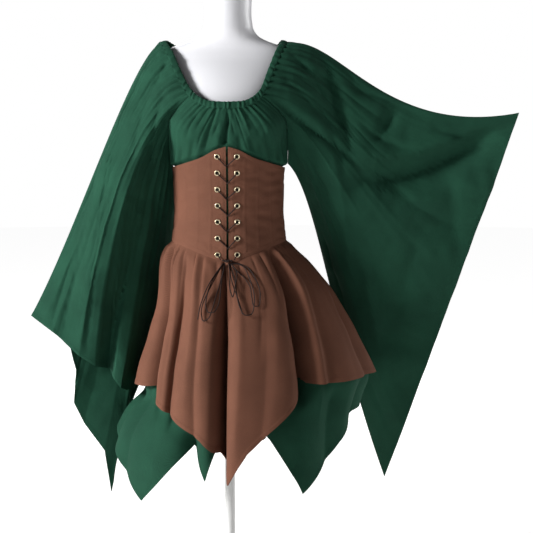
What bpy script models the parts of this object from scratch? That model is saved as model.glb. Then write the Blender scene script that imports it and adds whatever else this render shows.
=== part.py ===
# Peasant dress with butterfly sleeves and a pointed hem, under a laced corset skirt, on a dress form and stand
#
# Metres. +X is the wearer's left, -Y the front, +Z up. The origin is under the stand, on the floor.
import math

import bmesh
import bpy
import numpy as np
from mathutils import Vector

# Driving sizes
DRESS_CLOTH = 0.0014  # wall of the green cotton
SKIRT_CLOTH = 0.0016  # wall of the brown twill
CORSET_CLOTH = 0.0020  # wall of the lined corset
SEAM_INSET = 0.0004  # each panel stops this short of a seam line
SEAM_LAP = 0.0022  # how far the sleeve seam stands outside the bodice's
LAYER_GAP = 0.00085  # half the distance between the front and back of a sleeve along their seam
PUFF = 0.015  # height of the bodice's puff above the corset's top edge
UNDER_CORSET = 0.0060  # how far the bodice lies inside the corset, room for the lace
NECK_SEAM_Z = 1.296  # where the front raglan seam meets the neck casing
BACK_SEAM_Z = 1.366
WAIST_JOIN_Z = 1.000  # bodice to underskirt, hidden by the corset
FRONT_RAGLAN = 36.0  # degrees round the neck from the centre front
BACK_RAGLAN = 144.0
CASING_HEIGHT = 0.014
CASING_THICKNESS = 0.0030
CASING_GAP = 0.0011
GATHER_DEPTH = 0.0014
FRONT_GATHERS = 17
BACK_GATHERS = 11
SLEEVE_GATHERS = 10  # on each of the four sleeve panels
SEAM_SHARES = [0, 0.12, 0.26, 0.42, 0.60, 0.80, 1.0]  # levels shared by the bodice and sleeve sides of a raglan seam
PLEATS = 14  # round the brown waist
PLEAT_DEPTH = 0.0045
LACE_RADIUS = 0.0011
EYELET_ROWS = 7
EYELET_TOP_Z = 1.175
EYELET_PITCH = 0.0343
EYELET_X = 0.0205
EYELET_HOLE = 0.0030
EYELET_RADIUS = 0.0060
EYELET_THICKNESS = 0.0012
EYELET_SIDES = 8
WALL_HOLE = 0.0037
BUSK_HALF_GAP = 0.0024  # half the opening between the corset's front edges
KNOT_Z = 0.9575
KNOT_SIZE = (0.0250, 0.0110, 0.0090)
STRAND_PITCH = 0.0031  # between the layers of the bow's strands
BASE_RADIUS = 0.150
BASE_THICKNESS = 0.012
POLE_RADIUS = 0.011
FORM_BOTTOM_Z = 0.800
CONTACT = 0.0003
SKIRT_GAP = 0.0009  # between the corset's lower edge and the brown skirt


def table(columns, rows):
    """The rows as one array for each named column, the first column being the key."""
    names = columns.split()
    return {"key": names[0], **dict(zip(names, np.array(rows, float).T))}


# Half width, front depth and back depth of each level section
FORM = table("z width front back", [
    (0.800, 0.126, 0.088, 0.090), (0.840, 0.130, 0.090, 0.092), (0.900, 0.126, 0.088, 0.084),
    (0.980, 0.112, 0.085, 0.075), (1.050, 0.105, 0.083, 0.070), (1.110, 0.108, 0.088, 0.072),
    (1.155, 0.1146, 0.095, 0.076), (1.190, 0.120, 0.102, 0.080), (1.230, 0.126, 0.106, 0.084),
    (1.280, 0.134, 0.103, 0.084), (1.330, 0.142, 0.088, 0.078), (1.360, 0.146, 0.070, 0.072),
    (1.385, 0.144, 0.052, 0.064), (1.404, 0.130, 0.043, 0.058), (1.411, 0.111, 0.043, 0.055),
    (1.418, 0.090, 0.044, 0.053), (1.427, 0.070, 0.046, 0.052), (1.440, 0.057, 0.049, 0.051),
    (1.462, 0.051, 0.050, 0.050),
    (1.500, 0.050, 0.050, 0.050), (1.548, 0.051, 0.051, 0.051), (1.556, 0.046, 0.046, 0.046)])
BODICE = table("z width front back", [
    (1.150, 0.1262, 0.1110, 0.0960), (1.190, 0.1295, 0.1150, 0.0980), (1.230, 0.1340, 0.1180, 0.0990),
    (1.285, 0.1430, 0.1165, 0.0990), (1.340, 0.1450, 0.1060, 0.0970), (1.390, 0.1450, 0.0850, 0.0900)])
CORSET = table("z width front back", [
    (0.950, 0.1280, 0.1080, 0.0980), (1.000, 0.1238, 0.1013, 0.0922), (1.050, 0.1195, 0.0980, 0.0880),
    (1.100, 0.1195, 0.1030, 0.0890), (1.150, 0.1213, 0.1120, 0.0920), (1.200, 0.1240, 0.1220, 0.0950)])
# Corset edges by angle from the centre front
CORSET_EDGES = table("angle bottom top", [
    (0, 0.9560, 1.1960), (12, 0.9600, 1.1880), (25, 0.9690, 1.1740), (45, 0.9820, 1.1620),
    (70, 0.9900, 1.1530), (90, 0.9920, 1.1500), (180, 0.9900, 1.1500)])
# Elastic neckline: a point at each angle round the neck, and the way the cloth leaves it
NECK = table("angle left right y z dx dy dz", [
    (0, 0.000, 0.000, -0.1195, 1.287, 0.00, -0.15, -0.98), (18, 0.040, 0.042, -0.1150, 1.291, 0.10, -0.18, -0.97),
    (36, 0.067, 0.072, -0.1000, 1.311, 0.45, -0.22, -0.86), (56, 0.084, 0.096, -0.0760, 1.352, 0.76, -0.32, -0.56),
    (75, 0.101, 0.117, -0.0430, 1.396, 0.90, -0.15, -0.38),
    (90, 0.112, 0.132, -0.0040, 1.418, 0.97, 0.00, -0.24), (120, 0.100, 0.112, 0.0440, 1.411, 0.80, 0.40, -0.45),
    (144, 0.073, 0.078, 0.0780, 1.389, 0.45, 0.30, -0.84), (162, 0.040, 0.042, 0.0920, 1.380, 0.12, 0.18, -0.97),
    (180, 0.000, 0.000, 0.0960, 1.377, 0.00, 0.15, -0.98)])
# Skirt fullness: how far the brown cloth stands out on each side
SKIRT = table("z left right front back", [
    (0.480, 0.370, 0.228, 0.255, 0.250), (0.600, 0.355, 0.222, 0.246, 0.240), (0.700, 0.328, 0.207, 0.228, 0.220),
    (0.790, 0.283, 0.178, 0.198, 0.188), (0.850, 0.249, 0.160, 0.174, 0.166), (0.893, 0.222, 0.152, 0.154, 0.148),
    (0.940, 0.178, 0.147, 0.128, 0.120), (0.965, 0.152, 0.141, 0.113, 0.104), (0.992, 0.1255, 0.1250, 0.1020, 0.0930)])
# The green skirt below the brown hem
UNDERSKIRT = table("z left right front back", [
    (0.380, 0.262, 0.268, 0.240, 0.238), (0.500, 0.272, 0.268, 0.240, 0.238), (0.580, 0.280, 0.252, 0.236, 0.234),
    (0.620, 0.288, 0.228, 0.230, 0.226), (0.660, 0.300, 0.190, 0.214, 0.208), (0.700, 0.308, 0.184, 0.205, 0.198)])
# Deep folds of the brown skirt: angle at the waist and at the hem, depth there, half width at the waist
SKIRT_FOLDS = table("waist hem depth half", [
    (-153, -150, 0.038, 6), (-122, -118, 0.030, 6), (-88, -84, 0.012, 6), (-63, -51, 0.034, 4.5),
    (-43, -36, 0.012, 5), (-1, -3, 0.074, 5), (22, 12, 0.010, 5), (53, 31, 0.050, 4.5),
    (78, 60, 0.014, 6), (112, 108, 0.036, 6), (140, 140, 0.030, 6), (176, 178, 0.036, 6)])
UNDER_FOLDS = table("angle depth half", [
    (-143, 0.040, 7), (-112, 0.030, 7), (-82, 0.014, 6), (-62, 0.012, 6), (-20, 0.040, 5), (-5, 0.018, 4),
    (19, 0.055, 5), (46, 0.012, 6), (72, 0.018, 7), (100, 0.024, 7), (133, 0.040, 7), (179, 0.030, 8)])
SKIRT_HEM = table("angle z", [
    (-180, 0.510), (-142, 0.668), (-92, 0.680), (-54, 0.684), (-51, 0.672), (-46, 0.632), (-24, 0.582),
    (-8, 0.542), (0, 0.500), (6, 0.546), (27, 0.664), (33, 0.698), (90, 0.700), (142, 0.668), (180, 0.510)])
UNDER_HEM = table("angle z", [
    (-180, 0.580), (-163, 0.450), (-143, 0.600), (-112, 0.560), (-90, 0.575), (-68, 0.530), (-47, 0.464),
    (-21, 0.585), (-12, 0.517), (-5, 0.600), (19, 0.600), (26, 0.520), (30, 0.479), (55, 0.570), (75, 0.622),
    (110, 0.630), (133, 0.600), (157, 0.435), (180, 0.580)])
# Sleeves: across runs from the top edge (0) to the underarm edge (1); the guides steer the cloth from seam to hem.
# half is how far the front and back layers stand apart from the middle there.
LEFT_SLEEVE = {
    "guides": table("across x1 y1 z1 half1 x2 y2 z2 half2", [
        (0.0, 0.235, 0.000, 1.440, 0.072, 0.330, 0.000, 1.212, 0.048),
        (0.5, 0.210, 0.010, 1.245, 0.085, 0.290, 0.060, 1.000, 0.052),
        (1.0, 0.195, 0.050, 1.100, 0.070, 0.240, 0.210, 0.750, 0.050)]),
    "front_hem": table("across x y z", [
        (0.00, 0.629, 0.000, 1.268), (0.15, 0.588, 0.008, 1.138), (0.50, 0.495, 0.070, 0.834),
        (0.85, 0.405, 0.142, 0.530), (1.00, 0.368, 0.190, 0.400)]),
    "back_hem": table("across x y z", [
        (0.00, 0.629, 0.000, 1.268), (0.15, 0.588, 0.045, 1.138), (0.50, 0.495, 0.118, 0.834),
        (0.85, 0.405, 0.184, 0.530), (1.00, 0.368, 0.190, 0.400)]),
    # Folds as a bend through three points in the front plane, with half width and depth (positive sinks)
    "folds": table("x0 z0 x1 z1 x2 z2 half depth", [
        (0.095, 1.290, 0.185, 1.225, 0.277, 1.160, 0.011, 0.014),
        (0.205, 1.385, 0.235, 1.270, 0.262, 1.190, 0.020, 0.024),
        (0.290, 1.125, 0.450, 1.110, 0.600, 1.255, 0.030, 0.030),
        (0.280, 1.175, 0.430, 1.160, 0.610, 1.275, 0.024, -0.014),
        (0.372, 1.290, 0.350, 1.255, 0.325, 1.215, 0.014, 0.014),
        (0.300, 1.020, 0.340, 0.860, 0.390, 0.640, 0.040, 0.010)]),
}
RIGHT_SLEEVE = {
    "guides": table("across x1 y1 z1 half1 x2 y2 z2 half2", [
        (0.0, 0.205, 0.000, 1.398, 0.070, 0.337, 0.000, 1.000, 0.070),
        (0.5, 0.190, 0.010, 1.230, 0.085, 0.262, 0.020, 0.930, 0.080),
        (1.0, 0.119, 0.058, 1.080, 0.045, 0.122, 0.160, 0.860, 0.050)]),
    "front_hem": table("across x y z", [
        (0.00, 0.438, 0.000, 0.824), (0.18, 0.385, -0.035, 0.793), (0.34, 0.325, -0.045, 0.742),
        (0.43, 0.292, -0.042, 0.718), (0.53, 0.268, -0.012, 0.706), (0.63, 0.252, -0.045, 0.690),
        (0.74, 0.236, -0.050, 0.672), (0.84, 0.228, -0.015, 0.660), (0.92, 0.218, 0.035, 0.655),
        (1.00, 0.210, 0.105, 0.662)]),
    "back_hem": table("across x y z", [
        (0.00, 0.438, 0.000, 0.824), (0.12, 0.402, 0.030, 0.790), (0.24, 0.362, 0.052, 0.740),
        (0.36, 0.352, 0.060, 0.690), (0.48, 0.358, 0.060, 0.612), (0.58, 0.337, 0.065, 0.565),
        (0.68, 0.290, 0.062, 0.500), (0.76, 0.275, 0.060, 0.400), (0.84, 0.262, 0.098, 0.505),
        (0.92, 0.234, 0.112, 0.595), (1.00, 0.210, 0.105, 0.662)]),
    "folds": table("x0 z0 x1 z1 x2 z2 half depth", [
        (0.268, 0.700, 0.245, 0.850, 0.185, 1.080, 0.019, 0.026),
        (0.366, 0.760, 0.335, 0.920, 0.295, 1.110, 0.020, 0.012),
        (0.150, 1.385, 0.205, 1.370, 0.215, 1.320, 0.014, 0.012),
        (0.125, 1.350, 0.180, 1.320, 0.205, 1.250, 0.014, 0.010),
        (0.320, 0.780, 0.290, 0.950, 0.255, 1.200, 0.022, -0.010)]),
}
# Bow strands from the knot and, for the loops, back to it: share of the way, x, height from the knot
BOW = {
    "bow_loop_right_1": (1, table("at x z", [
        (0.00, -0.0090, -0.0055), (0.14, -0.026, -0.036), (0.30, -0.046, -0.076), (0.42, -0.0525, -0.100),
        (0.50, -0.0464, -0.117), (0.58, -0.036, -0.110), (0.70, -0.026, -0.082), (0.85, -0.014, -0.042),
        (1.00, -0.0058, -0.0055)])),
    "bow_loop_right_2": (2, table("at x z", [
        (0.00, -0.0080, -0.0055), (0.16, -0.028, -0.034), (0.33, -0.041, -0.068), (0.44, -0.042, -0.091),
        (0.52, -0.034, -0.101), (0.60, -0.022, -0.095), (0.70, -0.0150, -0.076), (0.86, -0.0110, -0.038),
        (1.00, -0.0048, -0.0055)])),
    "bow_loop_left_1": (1, table("at x z", [
        (0.00, 0.0103, -0.0055), (0.13, 0.028, -0.0068), (0.24, 0.046, -0.0165), (0.38, 0.064, -0.046),
        (0.50, 0.069, -0.070), (0.60, 0.061, -0.092), (0.70, 0.053, -0.075), (0.82, 0.044, -0.042),
        (0.92, 0.021, -0.021), (1.00, 0.0062, -0.0055)])),
    "bow_loop_left_2": (2, table("at x z", [
        (0.00, 0.0085, -0.0055), (0.12, 0.031, -0.009), (0.27, 0.050, -0.043), (0.40, 0.057, -0.075),
        (0.47, 0.054, -0.096), (0.53, 0.045, -0.108), (0.60, 0.033, -0.099), (0.72, 0.022, -0.072),
        (0.86, 0.017, -0.038), (1.00, 0.0050, -0.0055)])),
    "bow_loop_left_3": (3, table("at x z", [
        (0.00, 0.0030, -0.0055), (0.20, 0.0060, -0.028), (0.38, 0.0062, -0.052), (0.50, 0.0124, -0.069),
        (0.62, 0.0170, -0.050), (0.82, 0.0200, -0.022), (1.00, 0.0078, -0.0055)])),
    "bow_tail_right": (3, table("at x z", [
        (0.00, -0.0095, -0.0055), (0.30, -0.033, -0.038), (0.62, -0.0485, -0.0700), (0.82, -0.0555, -0.093),
        (1.00, -0.0590, -0.114)])),
    "bow_tail_left": (1, table("at x z", [
        (0.00, 0.0025, -0.0055), (0.35, 0.0100, -0.040), (0.70, 0.0240, -0.076), (1.00, 0.0330, -0.103)])),
}


def lookup(rows, name, at):
    """The named column at each key, on a smooth curve through the rows."""
    keys, values = rows[rows["key"]], rows[name]
    slopes = np.gradient(values, keys)
    at = np.clip(np.asarray(at, float), keys[0], keys[-1])
    i = np.clip(np.searchsorted(keys, at) - 1, 0, len(keys) - 2)
    span = keys[i + 1] - keys[i]
    t = (at - keys[i]) / span
    rise = t * t * (3 - 2 * t)
    start = t * (1 - t) ** 2 * span * slopes[i]
    end = t * t * (t - 1) * span * slopes[i + 1]
    return values[i] * (1 - rise) + values[i + 1] * rise + start + end


def straight(rows, name, at):
    """The named column at each key, on straight lines between the rows."""
    return np.interp(at, rows[rows["key"]], rows[name])


def ease(t):
    t = np.clip(t, 0, 1)
    return t * t * (3 - 2 * t)


def point_grid(*parts):
    return np.stack(np.broadcast_arrays(*parts), axis=-1)


def section(rows, angle, z, grow=0.0):
    """A point of a body of level sections, angle in degrees from the centre front."""
    a = np.radians(angle)
    depth = np.where(np.cos(a) > 0, lookup(rows, "front", z), lookup(rows, "back", z)) + grow
    return point_grid((lookup(rows, "width", z) + grow) * np.sin(a), -depth * np.cos(a), z)


def level_normal(rows, angle, z):
    """The level direction straight out of a body of sections."""
    a = np.radians(angle)
    depth = np.where(np.cos(a) > 0, lookup(rows, "front", z), lookup(rows, "back", z))
    n = point_grid(np.sin(a) / lookup(rows, "width", z), -np.cos(a) / depth, 0 * a)
    return n / np.linalg.norm(n, axis=-1, keepdims=True)


def round_angle(angle):
    """The angle from the centre front, either way, 0 to 180."""
    return np.abs((np.asarray(angle, float) + 180) % 360 - 180)


def corset_edge(name, angle):
    return lookup(CORSET_EDGES, name, round_angle(angle))


def normals(grid, around=False):
    """Unit normals of a grid of points, pointing left of the way down the columns."""
    if around:
        wide = np.concatenate([grid[:, -1:], grid, grid[:, :1]], axis=1)
        across = np.gradient(wide, axis=1)[:, 1:-1]
    else:
        across = np.gradient(grid, axis=1)
    down = np.gradient(grid, axis=0)
    n = np.cross(down, across)
    return n / np.maximum(np.linalg.norm(n, axis=-1, keepdims=True), 1e-12)


def outward(grid, centre, around=False):
    """The grid's normals, turned to face away from a point."""
    n = normals(grid, around)
    facing = np.sum(n * (grid - np.array(centre)), axis=(-1)).sum()
    return n if facing > 0 else -n


def material(name, colour, roughness, metallic=0.0):
    made = bpy.data.materials.new(name)
    made.use_nodes = True
    shader = made.node_tree.nodes["Principled BSDF"]
    shader.inputs["Base Color"].default_value = (*colour, 1.0)
    shader.inputs["Roughness"].default_value = roughness
    shader.inputs["Metallic"].default_value = metallic
    return made


def solid(name, bm, finish, smooth_angle=None):
    """A named object from a bmesh, with its faces turned outwards."""
    bmesh.ops.recalc_face_normals(bm, faces=bm.faces)
    mesh = bpy.data.meshes.new(name)
    bm.to_mesh(mesh)
    bm.free()
    obj = bpy.data.objects.new(name, mesh)
    bpy.context.scene.collection.objects.link(obj)
    mesh.materials.append(finish)
    if smooth_angle is not None:
        mesh.shade_smooth()
        mesh.set_sharp_from_angle(angle=math.radians(smooth_angle))
    return obj


def add_grid(bm, grid, around):
    """Vertices and quads of one skin; returns the vertices by row."""
    rows = [[bm.verts.new(p) for p in row] for row in grid]
    count = len(rows[0])
    for upper, lower in zip(rows, rows[1:]):
        for j in range(count if around else count - 1):
            k = (j + 1) % count
            bm.faces.new((upper[j], upper[k], lower[k], lower[j]))
    return rows


def wall(name, grid, thickness, finish, centre, around=False):
    """Cloth of even thickness about a grid of points: two skins joined along their edges."""
    n = outward(grid, centre, around)
    bm = bmesh.new()
    outer = add_grid(bm, grid + n * thickness / 2, around)
    inner = add_grid(bm, grid - n * thickness / 2, around)
    count = len(outer[0])
    for o, i in ((outer[0], inner[0]), (outer[-1], inner[-1])):
        for j in range(count if around else count - 1):
            k = (j + 1) % count
            bm.faces.new((o[j], o[k], i[k], i[j]))
    if not around:
        for j in (0, -1):
            for r in range(len(outer) - 1):
                bm.faces.new((outer[r][j], outer[r + 1][j], inner[r + 1][j], inner[r][j]))
    return solid(name, bm, finish, 50)


def drawn_in(grid, first=0.0, last=0.0, top=0.0, bottom=0.0):
    """The grid with its edges moved inwards along the cloth, for the gaps at its seams."""
    grid = grid.copy()
    for edge, inside, amount, axis in ((0, 1, first, 1), (-1, -2, last, 1), (0, 1, top, 0), (-1, -2, bottom, 0)):
        line = np.take(grid, edge, axis=axis)
        way = np.take(grid, inside, axis=axis) - line
        way /= np.maximum(np.linalg.norm(way, axis=-1, keepdims=True), 1e-9)
        if axis:
            grid[:, edge] = line + way * amount
        else:
            grid[edge] = line + way * amount
    return grid


def neck_point(angle, down=0.0):
    """A point of the neckline at an angle in degrees, moved down the cloth by a distance."""
    sign = np.sign(np.sin(np.radians(angle)))
    at = round_angle(angle)
    x = np.where(sign > 0, lookup(NECK, "left", at), lookup(NECK, "right", at))
    p = point_grid(sign * x, lookup(NECK, "y", at), lookup(NECK, "z", at))
    d = point_grid(sign * lookup(NECK, "dx", at), lookup(NECK, "dy", at), lookup(NECK, "dz", at))
    return p + d / np.linalg.norm(d, axis=-1, keepdims=True) * down


def bust(angle, z):
    """How far the fullness over each cup stands out."""
    return 0.020 * np.exp(-(((round_angle(angle) - 40) / 21) ** 2)) * np.exp(-(((z - 1.236) / 0.040) ** 2))


def bodice_body(angle, z):
    """The bodice's smooth form: full above the corset and drawn in under it."""
    w = ease((z - corset_edge("top", angle) - 0.003) / (PUFF - 0.003))[..., None]
    full = section(BODICE, angle, z) + level_normal(BODICE, angle, z) * bust(angle, z)[..., None]
    return section(CORSET, angle, z, -UNDER_CORSET) * (1 - w) + full * w


def raglan(share, side, back):
    """A point of a raglan seam from the neck casing (0) to the underarm (1), and the way out of the body there."""
    share = np.asarray(share, float)
    top_angle, top_z = (BACK_RAGLAN, BACK_SEAM_Z) if back else (FRONT_RAGLAN, NECK_SEAM_Z)
    angle = side * (top_angle + (90 - top_angle) * share**0.9)
    z = top_z + (corset_edge("top", 90) + PUFF - top_z) * share
    w = ease(share / 0.35)[..., None]
    neck = neck_point(side * top_angle, CASING_HEIGHT + CASING_GAP)
    return neck * (1 - w) + bodice_body(angle, z) * w, level_normal(BODICE, angle, z)


def bodice_panel(name, finish, back):
    """Front or back of the bodice, from the neck casing to the waist join under the corset."""
    gathers = BACK_GATHERS if back else FRONT_GATHERS
    across = np.linspace(-1, 1, 2 * gathers + 1)
    down = np.array(SEAM_SHARES)
    top_angle = 180 - BACK_RAGLAN if back else FRONT_RAGLAN
    turn = 180.0 if back else 0.0
    facing = -1 if back else 1
    share, side = down[:, None], across[None, :]
    neck = neck_point(turn + facing * across * top_angle, CASING_HEIGHT + CASING_GAP)
    angle = turn + facing * side * (top_angle + (90 - top_angle) * share**0.9)
    low = corset_edge("top", angle) + PUFF
    top_z = BACK_SEAM_Z if back else NECK_SEAM_Z
    edge_z = top_z + (corset_edge("top", 90) + PUFF - top_z) * share
    z = neck[None, :, 2] * (1 - share) + low * share
    z = z + (edge_z - z) * np.abs(side) ** 6
    w = ease(share / 0.35)[..., None]
    upper = neck[None] * (1 - w) + bodice_body(angle, z) * w
    last = angle[-1]
    below = [corset_edge("top", last) + rise for rise in (0.009, 0.003, -0.010)]
    levels = np.array(below + [0 * last + level for level in (1.105, 1.052, WAIST_JOIN_Z)])
    grid = np.concatenate([upper, bodice_body(last[None, :] + 0 * levels, levels)])
    n = outward(grid, (0, 0, 1.2))
    wave = np.where(np.arange(len(across)) % 2, -1.0, 1.0)
    fade = np.concatenate([np.exp(-down / 0.33), np.zeros(len(levels))])[:, None]
    inside = 1 - np.abs(across) ** 10
    grid = grid + n * (GATHER_DEPTH * fade * (wave * inside)[None, :])[..., None]
    grid = drawn_in(grid, SEAM_INSET, SEAM_INSET, 0.0, SEAM_INSET)
    return wall(name, grid, DRESS_CLOTH, finish, (0, 0, 1.2))


def sleeve_panel(name, finish, sleeve, side, back):
    """Front or back layer of a sleeve. side is 1 for the wearer's left and -1 for the right."""
    neck_share = 0.36
    gather_across = np.linspace(0, neck_share, 2 * SLEEVE_GATHERS + 1)
    steps = 2 if side < 0 else 1
    nodes = np.arange(len(SEAM_SHARES))
    seam_shares = np.interp(np.arange(1, nodes[-1] * steps + 1) / steps, nodes, SEAM_SHARES)
    across = np.concatenate([gather_across, neck_share + (1 - neck_share) * seam_shares])
    along = np.array([0, 0.05, 0.13, 0.26, 0.43, 0.62, 0.82, 1.0])
    end_angle = BACK_RAGLAN if back else FRONT_RAGLAN
    turn = (end_angle - 90) * 0.98 * gather_across / neck_share
    neck = neck_point(side * (90 + turn), CASING_HEIGHT + CASING_GAP)
    shared, out = raglan(SEAM_SHARES, side, back)
    shared = shared + out * (SEAM_LAP * ease(np.array(SEAM_SHARES) / 0.2))[..., None]
    seam = point_grid(*(np.interp(seam_shares, SEAM_SHARES, shared[:, k]) for k in range(3)))
    start = np.concatenate([neck, seam])
    start[:, 0] *= side
    hem_rows = sleeve["back_hem" if back else "front_hem"]
    hem = point_grid(*(straight(hem_rows, k, across) for k in "xyz"))
    guides = sleeve["guides"]
    lens = np.sin(math.pi * np.clip(across, 0, 1)) ** 0.6 * (1 if back else -1)

    def control(suffix):
        y = lookup(guides, "y" + suffix, across) + lens * lookup(guides, "half" + suffix, across)
        return point_grid(lookup(guides, "x" + suffix, across), y, lookup(guides, "z" + suffix, across))

    t = along[:, None, None]
    grid = (start * (1 - t) ** 3 + 3 * control("1") * t * (1 - t) ** 2
            + 3 * control("2") * t * t * (1 - t) + hem * t**3)
    sink = folded(sleeve["folds"], grid) * ease(along / 0.10)[:, None]
    sink *= ease(across / 0.10) * ease((1 - across) / 0.10)
    grid[..., 1] += sink * (0.9 if back else 1.0)
    wave = np.where(np.arange(len(across)) % 2, -1.0, 1.0)
    wave *= np.where(across < neck_share, 1.0, 0.0) * ease(across / 0.03)
    n = outward(grid, (0.25, 0, 1.0))
    grid += n * (GATHER_DEPTH * np.exp(-along / 0.09)[:, None] * wave[None, :])[..., None]
    first = 2 * SLEEVE_GATHERS
    grid[:, first:] = drawn_in(grid[:, first:], top=2 * SEAM_INSET)
    grid[..., 1] += LAYER_GAP if back else -LAYER_GAP
    grid[..., 0] *= side
    return wall(name, grid, DRESS_CLOTH, finish, (0.25 * side, 0, 1.0))


def folded(folds, grid):
    """How far each grid point sinks, from its distance to each fold line seen from the front."""
    sink = np.zeros(grid.shape[:2])
    flat = grid[..., [0, 2]][:, :, None, :]
    for i in range(len(folds["half"])):
        a, b, c = (np.array([folds["x" + k][i], folds["z" + k][i]]) for k in "012")
        t = np.linspace(0, 1, 25)[:, None]
        line = a * (1 - t) ** 2 + 2 * b * t * (1 - t) + c * t * t
        strength = np.sin(math.pi * np.clip(t[:, 0], 0.08, 0.92)) ** 0.5
        away = np.linalg.norm(flat - line, axis=-1)
        nearest = away.argmin(axis=-1)
        sink += folds["depth"][i] * np.exp(-((away.min(axis=-1) / folds["half"][i]) ** 2)) * strength[nearest]
    return sink


def neck_casing(finish):
    """The gathered tube that holds the elastic round the neckline."""
    gathers = FRONT_GATHERS + BACK_GATHERS + 4 * SLEEVE_GATHERS
    angle = np.concatenate([
        np.linspace(-FRONT_RAGLAN, FRONT_RAGLAN, 2 * FRONT_GATHERS, endpoint=False),
        np.linspace(FRONT_RAGLAN, BACK_RAGLAN, 4 * SLEEVE_GATHERS, endpoint=False),
        np.linspace(BACK_RAGLAN, 360 - BACK_RAGLAN, 2 * BACK_GATHERS, endpoint=False),
        np.linspace(360 - BACK_RAGLAN, 360 - FRONT_RAGLAN, 4 * SLEEVE_GATHERS, endpoint=False)])
    top, bottom = neck_point(angle), neck_point(angle, CASING_HEIGHT)
    n = outward(np.stack([top, bottom]), (0, 0, 1.33), around=True)
    wave = np.where(np.arange(2 * gathers) % 2, 0.0, 1.0)[:, None]
    half = CASING_THICKNESS / 2
    out = half + 0.0012 * wave
    ring = np.stack([top + n[0] * out * 0.8, bottom + n[1] * out, bottom - n[1] * half * 0.6, top - n[0] * half * 0.6])
    bm = bmesh.new()
    rows = add_grid(bm, ring, True)
    count = len(rows[0])
    for j in range(count):
        k = (j + 1) % count
        bm.faces.new((rows[-1][j], rows[-1][k], rows[0][k], rows[0][j]))
    return solid("neck_casing", bm, finish, 60)


def dress_form(finish):
    """The smooth armless torso that fills the dress, with a flat neck top and a flat underside."""
    angle = np.linspace(-180, 180, 16, endpoint=False)
    z = FORM["z"][:, None]
    grid = section(FORM, angle[None, :], z + 0 * angle[None, :])
    grid[..., 1] -= 0.45 * bust(angle[None, :], z)
    bm = bmesh.new()
    rows = add_grid(bm, grid, True)
    bm.faces.new(rows[0])
    bm.faces.new(rows[-1])
    return solid("dress_form", bm, finish, 50)


def turned(name, finish, radius, low, high, sides, bevel):
    """An upright round bar or plate with eased edges."""
    bm = bmesh.new()
    bmesh.ops.create_cone(bm, cap_ends=True, segments=sides, radius1=radius, radius2=radius, depth=high - low)
    if bevel:
        rims = [e for e in bm.edges if abs(e.verts[0].co.z - e.verts[1].co.z) < 1e-6]
        bmesh.ops.bevel(bm, geom=rims, offset=bevel, segments=1, affect="EDGES")
    obj = solid(name, bm, finish, 50)
    obj.location.z = (low + high) / 2
    return obj


def corset_at(angle, z):
    """The corset's middle surface, and its normal."""
    p = section(CORSET, angle, z)
    along = section(CORSET, angle + 0.5, z) - section(CORSET, angle - 0.5, z)
    up = section(CORSET, angle, z + 0.004) - section(CORSET, angle, z - 0.004)
    n = np.cross(along, up)
    return p, n / np.linalg.norm(n, axis=-1, keepdims=True)


def corset_panel(name, finish, angles):
    angle = np.array(angles, float)[None, :]
    low, high = corset_edge("bottom", angle), corset_edge("top", angle)
    share = np.linspace(0, 1, 8)[:, None]
    grid = section(CORSET, angle + 0 * share, high * (1 - share) + low * share)
    return wall(name, grid, CORSET_CLOTH, finish, (0, 0, 1.08))


def on_corset(x, z, depth):
    """A point at a distance x from the centre front, standing out by depth from the corset's middle surface."""
    angle = np.degrees(np.arcsin(x / lookup(CORSET, "width", z)))
    p, n = corset_at(angle, z)
    return p + n * np.asarray(depth)[..., None], n


def eyelet(name, finish, x, z):
    """A flat ring seated on the corset round one lace hole."""
    (p, n) = on_corset(np.array(x), np.array(z), np.array(CORSET_CLOTH / 2 + 0.0007))
    bm = bmesh.new()
    turn = np.linspace(0, 2 * math.pi, EYELET_SIDES, endpoint=False)
    profile = [(EYELET_HOLE, 0), (EYELET_RADIUS, 0), (EYELET_RADIUS - 0.0012, EYELET_THICKNESS),
               (EYELET_HOLE + 0.0008, EYELET_THICKNESS)]
    rings = add_grid(bm, np.array([[(r * math.cos(a), r * math.sin(a), h) for a in turn] for r, h in profile]), True)
    for j in range(EYELET_SIDES):
        k = (j + 1) % EYELET_SIDES
        bm.faces.new((rings[-1][j], rings[-1][k], rings[0][k], rings[0][j]))
    obj = solid(name, bm, finish, 50)
    obj.location = Vector(p)
    obj.rotation_mode = "QUATERNION"
    obj.rotation_quaternion = Vector(n).to_track_quat("Z", "Y")
    return obj


def pierce(panel, side):
    """Cuts the lace holes of one front panel."""
    bm = bmesh.new()
    for row in range(EYELET_ROWS):
        p, n = on_corset(np.array(side * EYELET_X), np.array(EYELET_TOP_Z - row * EYELET_PITCH), np.array(0.0))
        turn = Vector(n).to_track_quat("Z", "Y").to_matrix().to_4x4()
        turn.translation = Vector(p)
        bmesh.ops.create_cone(bm, cap_ends=True, segments=8, radius1=WALL_HOLE, radius2=WALL_HOLE,
                              depth=0.012, matrix=turn)
    cutter = solid("lace_holes_" + panel.name, bm, panel.data.materials[0])
    cutter.hide_render = True
    cutter.display_type = "WIRE"
    cut = panel.modifiers.new("Lace holes", "BOOLEAN")
    cut.operation = "DIFFERENCE"
    cut.solver = "EXACT"
    cut.object = cutter


def tube(name, points, radius, finish):
    """A round cord along a line of points, with closed ends."""
    curve = bpy.data.curves.new(name, "CURVE")
    curve.dimensions = "3D"
    spline = curve.splines.new("POLY")
    spline.points.add(len(points) - 1)
    for at, p in zip(spline.points, points):
        at.co = (*p, 1.0)
    curve.bevel_depth = radius
    curve.bevel_resolution = 2
    curve.use_fill_caps = True
    curve.materials.append(finish)
    obj = bpy.data.objects.new(name, curve)
    bpy.context.scene.collection.objects.link(obj)
    return obj


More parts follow.
